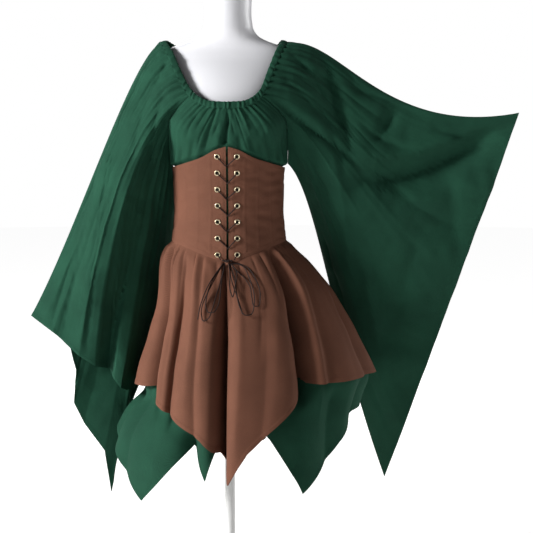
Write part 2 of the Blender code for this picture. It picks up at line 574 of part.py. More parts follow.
def lacing(finish):
    """One lace up and down the front: out of each eyelet, down to the opening, and behind the far edge to the next."""
    out = CORSET_CLOTH / 2 + 0.0007 + EYELET_THICKNESS + LACE_RADIUS + CONTACT
    near = CORSET_CLOTH / 2 + LACE_RADIUS + 2 * CONTACT
    lift = 0.0015  # the two strands cross the opening one above the other
    # share of the way to the next row, side of the start eyelet, depth
    leg = table("share x depth", [
        (0.000, 1.000, 0.0000), (0.030, 0.940, out), (0.560, 0.080, near),
        (0.590, 0.000, 0.0000), (0.620, -0.080, -near), (0.985, -0.990, -near)])

    def strand(side):
        points = []
        for row in range(EYELET_ROWS - 1):
            start = side * (1 if row % 2 == 0 else -1)
            z = EYELET_TOP_Z - EYELET_PITCH * (row + leg["share"])
            bump = lift * side * np.exp(-((leg["x"] / 0.5) ** 2))
            p, _ = on_corset(start * EYELET_X * leg["x"], z + bump, leg["depth"])
            points += list(p)
        last = side * (1 if (EYELET_ROWS - 1) % 2 == 0 else -1)
        low = EYELET_TOP_Z - EYELET_PITCH * (EYELET_ROWS - 1)
        ends = [(EYELET_X, low, 0.0), (EYELET_X * 0.95, low - 0.0012, out), (0.0136, KNOT_Z + 0.0010, 0.0062)]
        for x, z, depth in ends:
            points.append(on_corset(np.array(last * x), np.array(z), np.array(depth))[0])
        return points

    across = [on_corset(np.array(x), np.array(EYELET_TOP_Z + 0.0012), np.array(-near))[0]
              for x in (-EYELET_X * 0.97, -0.007, 0.007, EYELET_X * 0.97)]
    return tube("lacing", strand(-1)[::-1] + across + strand(1), LACE_RADIUS, finish)


def skirt_front(x, z):
    """The y of the front of the brown skirt, clear of its pleats."""
    width = np.where(x > 0, lookup(SKIRT, "left", z), lookup(SKIRT, "right", z))
    angle = np.degrees(np.arcsin(np.clip(x / width, -0.9, 0.9)))
    edge = corset_edge("bottom", angle)
    below = edge - z
    start = fullness(SKIRT, angle, edge) - section(CORSET, angle, edge)[..., :2]
    y = fullness(SKIRT, angle, np.minimum(z, edge))[..., 1] - start[..., 1] * (1 - ease(below / 0.13))
    return y - PLEAT_DEPTH * ease(below / 0.05)


def bow(finish):
    """The knot at the foot of the lacing, with its hanging loops and ends, each in its own layer."""
    knot_y = on_corset(np.array(0.0), np.array(KNOT_Z), np.array(0.0))[0][1] - 0.0077
    under_knot = KNOT_Z - KNOT_SIZE[2] / 2 - CONTACT
    bm = bmesh.new()
    bmesh.ops.create_cube(bm, size=1.0)
    bmesh.ops.scale(bm, vec=KNOT_SIZE, verts=bm.verts)
    bmesh.ops.bevel(bm, geom=list(bm.edges), offset=0.0018, segments=1, affect="EDGES")
    knot = solid("bow_knot", bm, finish, 60)
    knot.location = (0.0, knot_y, KNOT_Z)
    for name, (layer, route) in BOW.items():
        at = np.linspace(0, 1, 11 if "tail" in name else 15)
        x, fall = lookup(route, "x", at), lookup(route, "z", at)
        z = KNOT_Z + fall - 0.0002
        front = skirt_front(x, z) - LACE_RADIUS - 0.0006 - STRAND_PITCH * (layer - 1)
        start = knot_y + STRAND_PITCH * (2 - layer)
        away = np.maximum(ease(-(fall + 0.0055) / 0.030), ease((np.abs(x) - 0.010) / 0.030))
        y = np.minimum(start * (1 - away) + front * away, front)
        points = point_grid(x, y, z)
        for end, inside in ((0, 1), (-1, -2))[:1 if "tail" in name else 2]:
            way = points[end] - points[inside]
            points[end][2] = under_knot - LACE_RADIUS * np.hypot(way[0], way[1]) / np.linalg.norm(way)
        tube(name, points, LACE_RADIUS, finish)


def skirt_columns():
    """Angles at the waist for the columns of both skirts: even steps, with a column on each fold and its shoulders."""
    step = 360 / (4 * PLEATS)
    even = [step * i - 180 for i in range(4 * PLEATS + 1)]
    wanted = [-90.0, 90.0, -180.0, 180.0]
    for waist, half in zip(SKIRT_FOLDS["waist"], SKIRT_FOLDS["half"]):
        wanted += [waist - half, waist, waist + half]
    wanted = [a for a in wanted if -180 <= a <= 180]
    kept = [a for a in even if min(abs(a - w) for w in wanted) > step * 0.6]
    return np.array(sorted(set(kept + wanted)))


def fullness(rows, angle, z):
    """Plan position on a skirt's fullness table."""
    a = np.radians(angle)
    wide = np.where(np.sin(a) > 0, lookup(rows, "left", z), lookup(rows, "right", z))
    deep = np.where(np.cos(a) > 0, lookup(rows, "front", z), lookup(rows, "back", z))
    return point_grid(wide * np.sin(a), -deep * np.cos(a))


def dips(rows, key, at):
    """The sum of the folds in a table at each angle."""
    return sum(d * np.exp(-(((at - c) / h) ** 2)) for c, d, h in zip(rows[key], rows["depth"], rows["half"]))


def skirt_grid(columns, under):
    """Rows of the brown skirt, or of the green one that hangs inside it."""
    edge = corset_edge("bottom", columns)
    hem_angle = np.interp(columns, [-180, *SKIRT_FOLDS["waist"], 180], [-180, *SKIRT_FOLDS["hem"], 180])
    skirt_hem = straight(SKIRT_HEM, "z", hem_angle)
    if under:
        low = straight(UNDER_HEM, "z", hem_angle)
        knee = np.maximum(skirt_hem, low + 0.03)
        rows = [0 * edge + WAIST_JOIN_Z, edge - 0.002]
        rows += [edge + (knee - edge) * s for s in (0.15, 0.4, 0.7, 1.0)]
        rows += [knee + (low - knee) * s for s in (0.5, 1.0)]
        z = np.array(rows)
    else:
        share = np.array([0, 0.06, 0.18, 0.36, 0.58, 0.80, 1.0])[:, None]
        z = (edge - SKIRT_GAP) * (1 - share) + skirt_hem * share
    grown = np.clip((0.96 - z) / (0.96 - 0.62), 0, 1.25)
    angle = columns + (hem_angle - columns) * np.clip(grown, 0, 1)
    below = edge - z
    waist = section(CORSET, columns + 0 * z, np.maximum(z, edge), -UNDER_CORSET if under else 0.0)[..., :2]
    settle = ease(below / 0.13)[..., None]
    start = fullness(SKIRT, angle, edge + 0 * z)
    flat = fullness(SKIRT, angle, np.minimum(z, edge)) + (waist - start) * (1 - settle)
    radius = np.hypot(flat[..., 0], flat[..., 1])
    pleats = PLEAT_DEPTH * np.cos(np.radians(columns) * PLEATS) * ease(below / 0.05) * np.exp(-grown * 2.2)
    sink = dips(SKIRT_FOLDS, "waist", columns) * grown ** 0.8 - pleats
    if under:
        own = fullness(UNDERSKIRT, angle, z)
        free = ease((skirt_hem + 0.025 - z) / 0.07)[..., None]
        sink = sink * (1 - free[..., 0]) + dips(UNDER_FOLDS, "angle", hem_angle) * free[..., 0]
        inner = flat * (1 - (0.017 * ease(below / 0.08) / radius)[..., None])
        flat = inner * (1 - free) + own * free
        radius = np.hypot(flat[..., 0], flat[..., 1])
    flat = flat * (1 - sink / radius)[..., None]
    return np.concatenate([flat, z[..., None]], axis=-1)


def skirt_panel(name, finish, grid, under, thickness):
    grid = drawn_in(grid, 2 * SEAM_INSET, 2 * SEAM_INSET, SEAM_INSET if under else 0.0)
    return wall(name, grid, thickness, finish, (0, 0, 0.7))


def skirts(green, brown):
    columns = skirt_columns()
    front = columns[(columns >= -90) & (columns <= 90)]
    right_back, left_back = columns[columns <= -90], columns[columns >= 90]
    for under, label, finish, thickness in ((True, "underskirt", green, DRESS_CLOTH),
                                            (False, "overskirt", brown, SKIRT_CLOTH)):
        skirt_panel(label + "_front", finish, skirt_grid(front, under), under, thickness)
        left, right = skirt_grid(left_back, under), skirt_grid(right_back, under)
        skirt_panel(label + "_back", finish, np.concatenate([left, right[:, 1:]], axis=1), under, thickness)


def main():
    for obj in list(bpy.data.objects):
        bpy.data.objects.remove(obj)
    green = material("green cotton", (0.022, 0.110, 0.060), 0.75)
    brown = material("brown twill", (0.190, 0.085, 0.060), 0.70)
    lace = material("dark brown lace", (0.022, 0.009, 0.007), 0.60)
    brass = material("pale brass eyelet", (0.62, 0.52, 0.33), 0.30, 1.0)
    white = material("white form shell", (0.82, 0.82, 0.82), 0.35)
    grey = material("white stand enamel", (0.75, 0.75, 0.75), 0.35)

    dress_form(white)
    turned("stand_base", grey, BASE_RADIUS, 0.0, BASE_THICKNESS, 24, 0.003)
    turned("stand_pole", grey, POLE_RADIUS, BASE_THICKNESS + CONTACT, FORM_BOTTOM_Z - CONTACT, 16, 0.0)

    neck_casing(green)
    bodice_panel("bodice_front", green, back=False)
    bodice_panel("bodice_back", green, back=True)
    for side, label, sleeve in ((1, "left", LEFT_SLEEVE), (-1, "right", RIGHT_SLEEVE)):
        sleeve_panel(f"sleeve_{label}_front", green, sleeve, side, back=False)
        sleeve_panel(f"sleeve_{label}_back", green, sleeve, side, back=True)
    skirts(green, brown)

    edge = math.degrees(math.asin(BUSK_HALF_GAP / 0.12))
    side_seam = 90 - 0.15
    front_angles = [edge, 6.5, 13.5, 21, 30, 40, 51, 63, 76, side_seam]
    left = corset_panel("corset_front_left", brown, front_angles)
    right = corset_panel("corset_front_right", brown, [-a for a in front_angles[::-1]])
    corset_panel("corset_back", brown, np.linspace(90.15, 269.85, 15))
    for side, label, panel in ((1, "left", left), (-1, "right", right)):
        pierce(panel, side)
        for row in range(EYELET_ROWS):
            eyelet(f"eyelet_{label}_{row + 1}", brass, side * EYELET_X, EYELET_TOP_Z - row * EYELET_PITCH)
    lacing(lace)
    bow(lace)


main()
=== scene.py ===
# Fairy costume: green peasant dress with butterfly sleeves under a brown laced corset skirt, on a white dress form
import math

import bmesh
import bpy
import numpy as np
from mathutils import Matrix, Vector


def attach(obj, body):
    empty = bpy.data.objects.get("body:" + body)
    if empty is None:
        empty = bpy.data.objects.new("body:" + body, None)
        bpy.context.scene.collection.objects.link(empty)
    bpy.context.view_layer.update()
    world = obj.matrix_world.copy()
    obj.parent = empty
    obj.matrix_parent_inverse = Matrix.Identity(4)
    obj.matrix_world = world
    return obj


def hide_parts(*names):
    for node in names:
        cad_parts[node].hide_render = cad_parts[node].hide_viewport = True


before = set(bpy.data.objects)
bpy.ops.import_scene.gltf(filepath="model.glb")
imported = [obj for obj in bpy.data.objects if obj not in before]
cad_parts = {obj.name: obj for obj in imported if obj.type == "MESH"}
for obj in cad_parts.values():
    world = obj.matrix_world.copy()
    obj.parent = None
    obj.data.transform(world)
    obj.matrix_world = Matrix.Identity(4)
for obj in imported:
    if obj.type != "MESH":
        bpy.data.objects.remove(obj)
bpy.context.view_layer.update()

def addToScene(obj):
    bpy.context.scene.collection.objects.link(obj)
    return obj


def tableOf(columns, rows):
    names = columns.split()
    return {"key": names[0], **dict(zip(names, np.array(rows, float).T))}


def tableMm(columns, rows):  # every column in millimetres
    return tableOf(columns, 0.001 * np.array(rows, float))


def runAlong(line):  # the distance to each point of a line
    return np.concatenate([[0], np.cumsum(np.linalg.norm(np.diff(line, axis=0), axis=-1))])


def lookup(rows, name, at):  # smooth curve through the rows
    keys, values = rows[rows["key"]], rows[name]
    slopes = np.gradient(values, keys)
    at = np.clip(np.asarray(at, float), keys[0], keys[-1])
    i = np.clip(np.searchsorted(keys, at) - 1, 0, len(keys) - 2)
    span = keys[i + 1] - keys[i]
    t = (at - keys[i]) / span
    rise = t * t * (3 - 2 * t)
    start = t * (1 - t) ** 2 * span * slopes[i]
    end = t * t * (t - 1) * span * slopes[i + 1]
    return values[i] * (1 - rise) + values[i + 1] * rise + start + end


def straight(rows, name, at):
    return np.interp(at, rows[rows["key"]], rows[name])


def ease(t):
    t = np.clip(t, 0, 1)
    return t * t * (3 - 2 * t)


def bell(t):
    return np.exp(-np.asarray(t, float) ** 2)


def crease(t):  # a fold with a sharper crest
    return np.exp(-np.abs(np.asarray(t, float)) ** 1.35)


def pointGrid(*parts):
    return np.stack(np.broadcast_arrays(*parts), axis=-1)


def unit(v):
    return v / np.maximum(np.linalg.norm(v, axis=-1, keepdims=True), 1e-12)


def gridNormals(grid, around=False):
    if around:
        wide = np.concatenate([grid[:, -1:], grid, grid[:, :1]], axis=1)
        across = np.gradient(wide, axis=1)[:, 1:-1]
    else:
        across = np.gradient(grid, axis=1)
    return unit(np.cross(np.gradient(grid, axis=0), across))


def outward(grid, centre, around=False):
    n = gridNormals(grid, around)
    return n if np.sum(n * (grid - np.array(centre))) > 0 else -n


def crumple(points, size, seed, waves=16):  # gentle uneven waves about size across, roughly -1 to 1
    rng = np.random.default_rng(seed)
    ways = unit(rng.normal(size=(waves, 3))) * (2 * math.pi / size * rng.uniform(0.6, 1.5, (waves, 1)))
    return np.sin(points @ ways.T + rng.uniform(0, 2 * math.pi, waves)).sum(axis=-1) / math.sqrt(waves)


def driftingFolds(u, v, count, seed, span, half, depth, lean=0.06):  # soft ridges and troughs that run down v
    rng = np.random.default_rng(seed)
    total = np.zeros(np.broadcast(u, v).shape)
    for i in range(count):
        centre = span[0] + (span[1] - span[0]) * (i + rng.uniform(0.2, 0.8)) / count
        first, last = rng.uniform(-0.2, 0.35), rng.uniform(0.55, 1.25)
        swell = ease((v - first) / 0.22) * ease((last - v) / 0.3)
        width = half * rng.uniform(0.6, 1.5) * (0.6 + 0.8 * v)
        drift = lean * rng.uniform(-1, 1) * (v - 0.4)
        total = total + depth * rng.uniform(-1, 1) * crease((u - centre - drift) / width) * swell
    return total


# Camera at the photograph's angle, level with the bust and looking slightly down
cameraView = {"x": 0.082, "distance": 2.4, "height": 1.20, "aimHeight": 0.933, "lens": 74.14}


def placeCamera():
    data = bpy.data.cameras.new("photoCamera")
    data.lens = cameraView["lens"]
    data.sensor_width = 36.0
    camera = addToScene(bpy.data.objects.new("photoCamera", data))
    camera.location = (cameraView["x"], -cameraView["distance"], cameraView["height"])
    aim = Vector((cameraView["x"], 0.0, cameraView["aimHeight"]))
    camera.rotation_euler = (aim - camera.location).to_track_quat("-Z", "Y").to_euler()
    bpy.context.scene.camera = camera


placeCamera()


# Materials. Colours are sRGB hex; patterns are sized from the real cloth in millimetres.
def linear(hexColour):
    values = [int(hexColour[i:i + 2], 16) / 255 for i in (1, 3, 5)]
    return tuple(v / 12.92 if v <= 0.04045 else ((v + 0.055) / 1.055) ** 2.4 for v in values) + (1.0,)


def addNode(tree, kind, links=None, **settings):  # links: input name or number -> a socket or a plain value
    node = tree.nodes.new(kind)
    for name, value in settings.items():
        setattr(node, name, value)
    for name, value in (links or {}).items():
        if isinstance(value, bpy.types.NodeSocket):
            tree.links.new(value, node.inputs[name])
        else:
            node.inputs[name].default_value = value
    return node


def newMaterial(name, **values):
    made = bpy.data.materials.new(name)
    made.use_nodes = True
    shader = made.node_tree.nodes["Principled BSDF"]
    for socket, value in values.items():
        shader.inputs[socket.replace("_", " ")].default_value = value
    return made, made.node_tree, shader


def twoTones(tree, amount, low, high, first=0.3, last=0.7):  # a ramp between two colours
    ramp = addNode(tree, "ShaderNodeValToRGB", {0: amount})
    for stop, at, colour in zip(ramp.color_ramp.elements, (first, last), (low, high)):
        stop.position = at
        stop.color = linear(colour)
    return ramp.outputs[0]


# Plain-weave cotton, piece dyed and washed: matt, a faint nap that lightens at grazing angles, a soft crinkle.
# Its threads lie 0.4 mm apart and are drawn at 1.3 mm, as coarse as they need to show.
# Each cloth's lighter colour is a painted highlight on the thread crests, and it also tints the sheen
cottonLook = {"colour": "#1b4131", "threadHighlight": "#2b5845", "deep": "#153528", "pitchMm": 1.3, "depthMm": 0.07,
              "crinkleMm": 13, "crinkleDepthMm": 0.8, "roughness": 0.88, "nap": 0.10, "diagonal": False}
# Brushed cotton twill: matt, with steep diagonal wales 0.9 mm apart, drawn at 1.7 mm
twillLook = {"colour": "#684435", "threadHighlight": "#7a5242", "deep": "#58392c", "pitchMm": 1.7, "depthMm": 0.10,
             "crinkleMm": 20, "crinkleDepthMm": 0.4, "roughness": 0.84, "nap": 0.08, "diagonal": True}


def wovenCloth(name, look):
    made, tree, shader = newMaterial(name, Roughness=look["roughness"], Sheen_Weight=look["nap"], Sheen_Roughness=0.5,
                                     Sheen_Tint=linear(look["threadHighlight"]), Specular_IOR_Level=0.10)
    place = addNode(tree, "ShaderNodeTexCoord")
    uv, at = place.outputs["UV"], place.outputs["Object"]
    scale = 2 * math.pi / 20 / (0.001 * look["pitchMm"])  # a wave texture's band is 2 pi / 20 of its scale wide
    if look["diagonal"]:
        lean = addNode(tree, "ShaderNodeMapping", {"Vector": uv, "Rotation": (0.0, 0.0, math.radians(63))}).outputs[0]
        relief = addNode(tree, "ShaderNodeTexWave", {"Vector": lean, "Scale": scale, "Distortion": 0.5},
                         bands_direction="X").outputs["Fac"]
    else:
        threads = [addNode(tree, "ShaderNodeTexWave", {"Vector": uv, "Scale": scale, "Distortion": 0.4},
                           bands_direction=way).outputs["Fac"] for way in ("X", "Y")]
        relief = addNode(tree, "ShaderNodeMath", {0: threads[0], 1: threads[1]}, operation="MULTIPLY").outputs[0]
    patch = addNode(tree, "ShaderNodeTexNoise", {"Vector": at, "Scale": 11.0, "Detail": 5.0, "Roughness": 0.6})
    slub = addNode(tree, "ShaderNodeTexNoise", {"Vector": uv, "Scale": 380.0, "Detail": 2.0})
    tone = twoTones(tree, patch.outputs["Fac"], look["deep"], look["colour"])
    # Painted highlight: the thread crests, where the weave relief is high, are coloured toward the lighter colour, more
    # where the slub noise is high
    lit = addNode(tree, "ShaderNodeMath", {0: slub.outputs["Fac"], 1: relief}, operation="MULTIPLY").outputs[0]
    colour = addNode(tree, "ShaderNodeMix", {0: lit, 6: tone, 7: linear(look["threadHighlight"])}, data_type="RGBA").outputs[2]
    crinkle = addNode(tree, "ShaderNodeTexNoise", {"Vector": at, "Scale": 1000 / look["crinkleMm"], "Detail": 3.0,
                                                   "Roughness": 0.5, "Distortion": 0.8})
    soft = addNode(tree, "ShaderNodeBump", {"Height": crinkle.outputs["Fac"], "Strength": 0.6,
                                            "Distance": 0.001 * look["crinkleDepthMm"]}).outputs[0]
    weave = addNode(tree, "ShaderNodeBump", {"Height": relief, "Strength": 0.7, "Distance": 0.001 * look["depthMm"],
                                             "Normal": soft}).outputs[0]
    tree.links.new(colour, shader.inputs["Base Color"])
    tree.links.new(weave, shader.inputs["Normal"])
    return made


# Round braided polyester cord, dark brown: its plaits lie 1.6 mm apart along the cord and catch small lights
cordLook = {"colour": "#24140f", "deep": "#110906", "plaitMm": 1.6, "depthMm": 0.18, "roughness": 0.58}


def braidedCord():
    made, tree, shader = newMaterial("braidedPolyesterCord", Roughness=cordLook["roughness"], Specular_IOR_Level=0.25)
    uv = addNode(tree, "ShaderNodeTexCoord").outputs["UV"]
    scale = 2 * math.pi / 20 / (0.001 * cordLook["plaitMm"])
    ways = []
    for lean in (38, -38):
        turned = addNode(tree, "ShaderNodeMapping", {"Vector": uv, "Rotation": (0.0, 0.0, math.radians(lean))})
        ways.append(addNode(tree, "ShaderNodeTexWave", {"Vector": turned.outputs[0], "Scale": scale},
                            bands_direction="X").outputs["Fac"])
    plait = addNode(tree, "ShaderNodeMath", {0: ways[0], 1: ways[1]}, operation="MAXIMUM").outputs[0]
    bump = addNode(tree, "ShaderNodeBump", {"Height": plait, "Distance": 0.001 * cordLook["depthMm"]})
    # Painted shade: the valleys between the plaits are coloured darker than the crests
    tree.links.new(twoTones(tree, plait, cordLook["deep"], cordLook["colour"]), shader.inputs["Base Color"])
    tree.links.new(bump.outputs[0], shader.inputs["Normal"])
    return made


# Rolled brass eyelets, plated pale gold and tumbled: bright, with fine rub marks that blur the glints
brassLook = {"colour": "#f0e6cc", "rubbed": "#dac79b", "roughness": 0.27, "rubMm": 0.5}


def platedBrass():
    made, tree, shader = newMaterial("platedBrass", Metallic=1.0, Roughness=brassLook["roughness"])
    at = addNode(tree, "ShaderNodeTexCoord").outputs["Object"]
    rub = addNode(tree, "ShaderNodeTexNoise", {"Vector": at, "Scale": 1000 / brassLook["rubMm"], "Detail": 3.0})
    spread = addNode(tree, "ShaderNodeMapRange", {0: rub.outputs["Fac"], 3: 0.2, 4: 0.4})
    bump = addNode(tree, "ShaderNodeBump", {"Height": rub.outputs["Fac"], "Distance": 0.00003})
    tree.links.new(twoTones(tree, rub.outputs["Fac"], brassLook["rubbed"], brassLook["colour"]),
                   shader.inputs["Base Color"])
    tree.links.new(spread.outputs[0], shader.inputs["Roughness"])
    tree.links.new(bump.outputs[0], shader.inputs["Normal"])
    return made


# Moulded glass-fibre shell in white gel coat: satin gloss over a very faint orange peel.
# The stand is powder-coated steel: the same white, a little greyer and with a finer grain.
shellLook = {"colour": "#dfdfe3", "tint": "#d7d7db", "peelMm": 9, "peelDepthMm": 0.05, "roughness": 0.34}
powderLook = {"colour": "#dcdcdb", "tint": "#d2d2d1", "peelMm": 1.2, "peelDepthMm": 0.03, "roughness": 0.45}


def whiteCoat(name, look):
    made, tree, shader = newMaterial(name, Roughness=look["roughness"], Coat_Weight=0.15, Coat_Roughness=0.2)
    at = addNode(tree, "ShaderNodeTexCoord").outputs["Object"]
    peel = addNode(tree, "ShaderNodeTexNoise", {"Vector": at, "Scale": 1000 / look["peelMm"], "Detail": 2.0})
    patch = addNode(tree, "ShaderNodeTexNoise", {"Vector": at, "Scale": 6.0, "Detail": 2.0})
    bump = addNode(tree, "ShaderNodeBump", {"Height": peel.outputs["Fac"], "Distance": 0.001 * look["peelDepthMm"]})
    tree.links.new(twoTones(tree, patch.outputs["Fac"], look["tint"], look["colour"]), shader.inputs["Base Color"])
    tree.links.new(bump.outputs[0], shader.inputs["Normal"])
    return made


cotton = wovenCloth("pieceDyedCotton", cottonLook)
twill = wovenCloth("brushedCottonTwill", twillLook)
cord = braidedCord()
brass = platedBrass()
gelCoat = whiteCoat("gelCoatShell", shellLook)
powder = whiteCoat("powderCoatedSteel", powderLook)
print("materials made")


def addPiece(name, verts, faces, uvs, finish, nodes=(), sharp=50):  # a mesh piece that rides with the whole
    mesh = bpy.data.meshes.new(name)
    mesh.from_pydata(np.asarray(verts).tolist(), [], [list(f) for f in faces])
    if uvs is not None:
        layer = mesh.uv_layers.new(name="cloth")
        corner = np.zeros(len(mesh.loops), int)
        mesh.loops.foreach_get("vertex_index", corner)
        layer.data.foreach_set("uv", np.asarray(uvs, float)[corner].ravel())
    bm = bmesh.new()
    bm.from_mesh(mesh)
    bmesh.ops.recalc_face_normals(bm, faces=bm.faces)
    bm.to_mesh(mesh)
    bm.free()
    mesh.shade_smooth()
    mesh.set_sharp_from_angle(angle=math.radians(sharp))
    mesh.materials.append(finish)
    obj = addToScene(bpy.data.objects.new(name, mesh))
    if nodes:
        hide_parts(*nodes)
    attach(obj, "root")
    return obj


def gridFaces(rows, cols, around, start=0):
    index = np.arange(rows * cols).reshape(rows, cols) + start
    right = np.roll(index, -1, axis=1) if around else index[:, 1:]
    left = index if around else index[:, :-1]
    return np.stack([left[:-1], right[:-1], right[1:], left[1:]], axis=-1).reshape(-1, 4)


def ringFaces(here, there):  # closes the strip between two rings of points
    return np.stack([here, np.roll(here, -1), np.roll(there, -1), there], axis=-1).tolist()


def clothUv(grid):  # distances along the cloth in metres, measured from its middle column and its top
    step = np.linalg.norm(np.diff(grid, axis=1), axis=-1)
    u = np.concatenate([np.zeros((len(grid), 1)), np.cumsum(step, axis=1)], axis=1)
    u = u - u[:, u.shape[1] // 2][:, None]
    drop = np.linalg.norm(np.diff(grid, axis=0), axis=-1)
    v = np.concatenate([np.zeros((1, grid.shape[1])), np.cumsum(drop, axis=0)], axis=0)
    return np.stack([u, -v], axis=-1)


def shell(name, grid, thickness, finish, centre, nodes, around=False):  # closed thin cloth about a grid of points
    n = outward(grid, centre, around)
    half = np.broadcast_to(np.asarray(thickness, float) / 2, grid.shape[:2])[..., None]
    rows, cols = grid.shape[:2]
    outer, inner = grid + n * half, grid - n * half
    count = rows * cols
    faces = [gridFaces(rows, cols, around), gridFaces(rows, cols, around, count)]
    index = np.arange(count).reshape(rows, cols)
    rims = [index[0], index[-1]] + ([] if around else [index[:, 0], index[:, -1]])
    for k, rim in enumerate(rims):
        ahead = np.roll(rim, -1) if around else rim[1:]
        here = rim if around else rim[:-1]
        faces.append(np.stack([here, ahead, ahead + count, here + count], axis=-1))
    uv = clothUv(grid).reshape(-1, 2)
    verts = np.concatenate([outer.reshape(-1, 3), inner.reshape(-1, 3)])
    obj = addPiece(name, verts, np.concatenate(faces).tolist(), np.concatenate([uv, uv]), finish, nodes)
    return obj, outer


def hemThickness(grid, base, turned, width):  # doubled cloth along the lower edge
    drop = np.linalg.norm(np.diff(grid[::-1], axis=0), axis=-1)
    above = np.concatenate([np.zeros((1, grid.shape[1])), np.cumsum(drop, axis=0)], axis=0)[::-1]
    return base + (turned - base) * ease((width - above) / 0.0012)


def alongHem(outer, above):  # the line on a panel at a distance above its lower edge
    line = []
    for column in np.swapaxes(outer, 0, 1):
        column = column[::-1]
        run = runAlong(column)
        line.append([np.interp(above, run, column[:, k]) for k in range(3)])
    return np.array(line)


# Machine stitches lie in rows: each is a short rounded bar sunk a little into the cloth
stitchLook = {"lengthMm": 3.2, "gapMm": 1.5, "widthMm": 0.75, "standMm": 0.30}


def stitchRows(name, runs, finish, centre):
    verts, faces = [], []
    for line in runs:
        line = np.asarray(line)
        run = runAlong(line)
        pitch = 0.001 * (stitchLook["lengthMm"] + stitchLook["gapMm"])
        at = np.arange(pitch / 2, run[-1], pitch)
        middle = pointGrid(*(np.interp(at, run, line[:, k]) for k in range(3)))
        ahead = pointGrid(*(np.interp(at + 0.001, run, line[:, k]) for k in range(3)))
        behind = pointGrid(*(np.interp(at - 0.001, run, line[:, k]) for k in range(3)))
        way = unit(ahead - behind)
        out = unit(middle - np.array(centre))
        side = unit(np.cross(way, out))
        out = np.cross(side, way)
        a, b, c = (0.0005 * stitchLook[k] for k in ("lengthMm", "widthMm", "standMm"))
        for m, w, s, o in zip(middle, way, side, out):
            first = len(verts)
            verts += [m + w * a, m - w * a, m + s * b, m - s * b, m + o * c * 2, m - o * c]
            faces += [(first + i, first + j, first + k) for i, j, k in
                      ((0, 2, 4), (2, 1, 4), (1, 3, 4), (3, 0, 4), (2, 0, 5), (1, 2, 5), (3, 1, 5), (0, 3, 5))]
    return addPiece(name, verts, faces, None, finish, sharp=80)


# The cut of the cloth. Level sections of the body: half width, front depth and back depth.
formCut = tableOf("z width front back", [
    (0.800, 0.126, 0.088, 0.090), (0.840, 0.130, 0.090, 0.092), (0.900, 0.126, 0.088, 0.084),
    (0.980, 0.112, 0.085, 0.075), (1.050, 0.105, 0.083, 0.070), (1.110, 0.108, 0.088, 0.072),
    (1.155, 0.1146, 0.095, 0.076), (1.190, 0.120, 0.102, 0.080), (1.230, 0.126, 0.106, 0.084),
    (1.280, 0.134, 0.103, 0.084), (1.330, 0.142, 0.088, 0.078), (1.360, 0.146, 0.070, 0.072),
    (1.385, 0.144, 0.052, 0.064), (1.404, 0.130, 0.043, 0.058), (1.411, 0.111, 0.043, 0.055),
    (1.418, 0.090, 0.044, 0.053), (1.427, 0.070, 0.046, 0.052), (1.440, 0.057, 0.049, 0.051),
    (1.462, 0.051, 0.050, 0.050), (1.500, 0.050, 0.050, 0.050), (1.548, 0.051, 0.051, 0.051),
    (1.556, 0.046, 0.046, 0.046)])
bodiceCut = tableOf("z width front back", [
    (1.150, 0.1262, 0.1110, 0.0960), (1.190, 0.1295, 0.1150, 0.0980), (1.230, 0.1340, 0.1180, 0.0990),
    (1.285, 0.1430, 0.1165, 0.0990), (1.340, 0.1450, 0.1060, 0.0970), (1.390, 0.1450, 0.0850, 0.0900)])
corsetCut = tableOf("z width front back", [
    (0.950, 0.1280, 0.1080, 0.0980), (1.000, 0.1238, 0.1013, 0.0922), (1.050, 0.1195, 0.0980, 0.0880),
    (1.100, 0.1195, 0.1030, 0.0890), (1.150, 0.1213, 0.1120, 0.0920), (1.200, 0.1240, 0.1220, 0.0950)])
corsetEdges = tableOf("angle bottom top", [
    (0, 0.9560, 1.1960), (12, 0.9600, 1.1880), (25, 0.9690, 1.1740), (45, 0.9820, 1.1620),
    (70, 0.9900, 1.1530), (90, 0.9920, 1.1500), (180, 0.9900, 1.1500)])
neckCut = tableOf("angle left right y z dx dy dz", [
    (0, 0.000, 0.000, -0.1195, 1.287, 0.00, -0.15, -0.98), (18, 0.040, 0.042, -0.1150, 1.291, 0.10, -0.18, -0.97),
    (36, 0.067, 0.072, -0.1000, 1.311, 0.45, -0.22, -0.86), (56, 0.084, 0.096, -0.0760, 1.352, 0.76, -0.32, -0.56),
    (75, 0.101, 0.117, -0.0430, 1.396, 0.90, -0.15, -0.38),
    (90, 0.112, 0.132, -0.0040, 1.418, 0.97, 0.00, -0.24), (120, 0.100, 0.112, 0.0440, 1.411, 0.80, 0.40, -0.45),
    (144, 0.073, 0.078, 0.0780, 1.389, 0.45, 0.30, -0.84), (162, 0.040, 0.042, 0.0920, 1.380, 0.12, 0.18, -0.97),
    (180, 0.000, 0.000, 0.0960, 1.377, 0.00, 0.15, -0.98)])


def either(test, rows, ifPositive, otherwise, at):
    return np.where(test > 0, lookup(rows, ifPositive, at), lookup(rows, otherwise, at))


def section(rows, angle, z, grow=0.0):
    a = np.radians(angle)
    depth = either(np.cos(a), rows, "front", "back", z) + grow
    return pointGrid((lookup(rows, "width", z) + grow) * np.sin(a), -depth * np.cos(a), z)


def levelNormal(rows, angle, z):
    a = np.radians(angle)
    depth = either(np.cos(a), rows, "front", "back", z)
    return unit(pointGrid(np.sin(a) / lookup(rows, "width", z), -np.cos(a) / depth, 0 * a))


def roundAngle(angle):
    return np.abs((np.asarray(angle, float) + 180) % 360 - 180)


def corsetEdge(name, angle):
    return lookup(corsetEdges, name, roundAngle(angle))


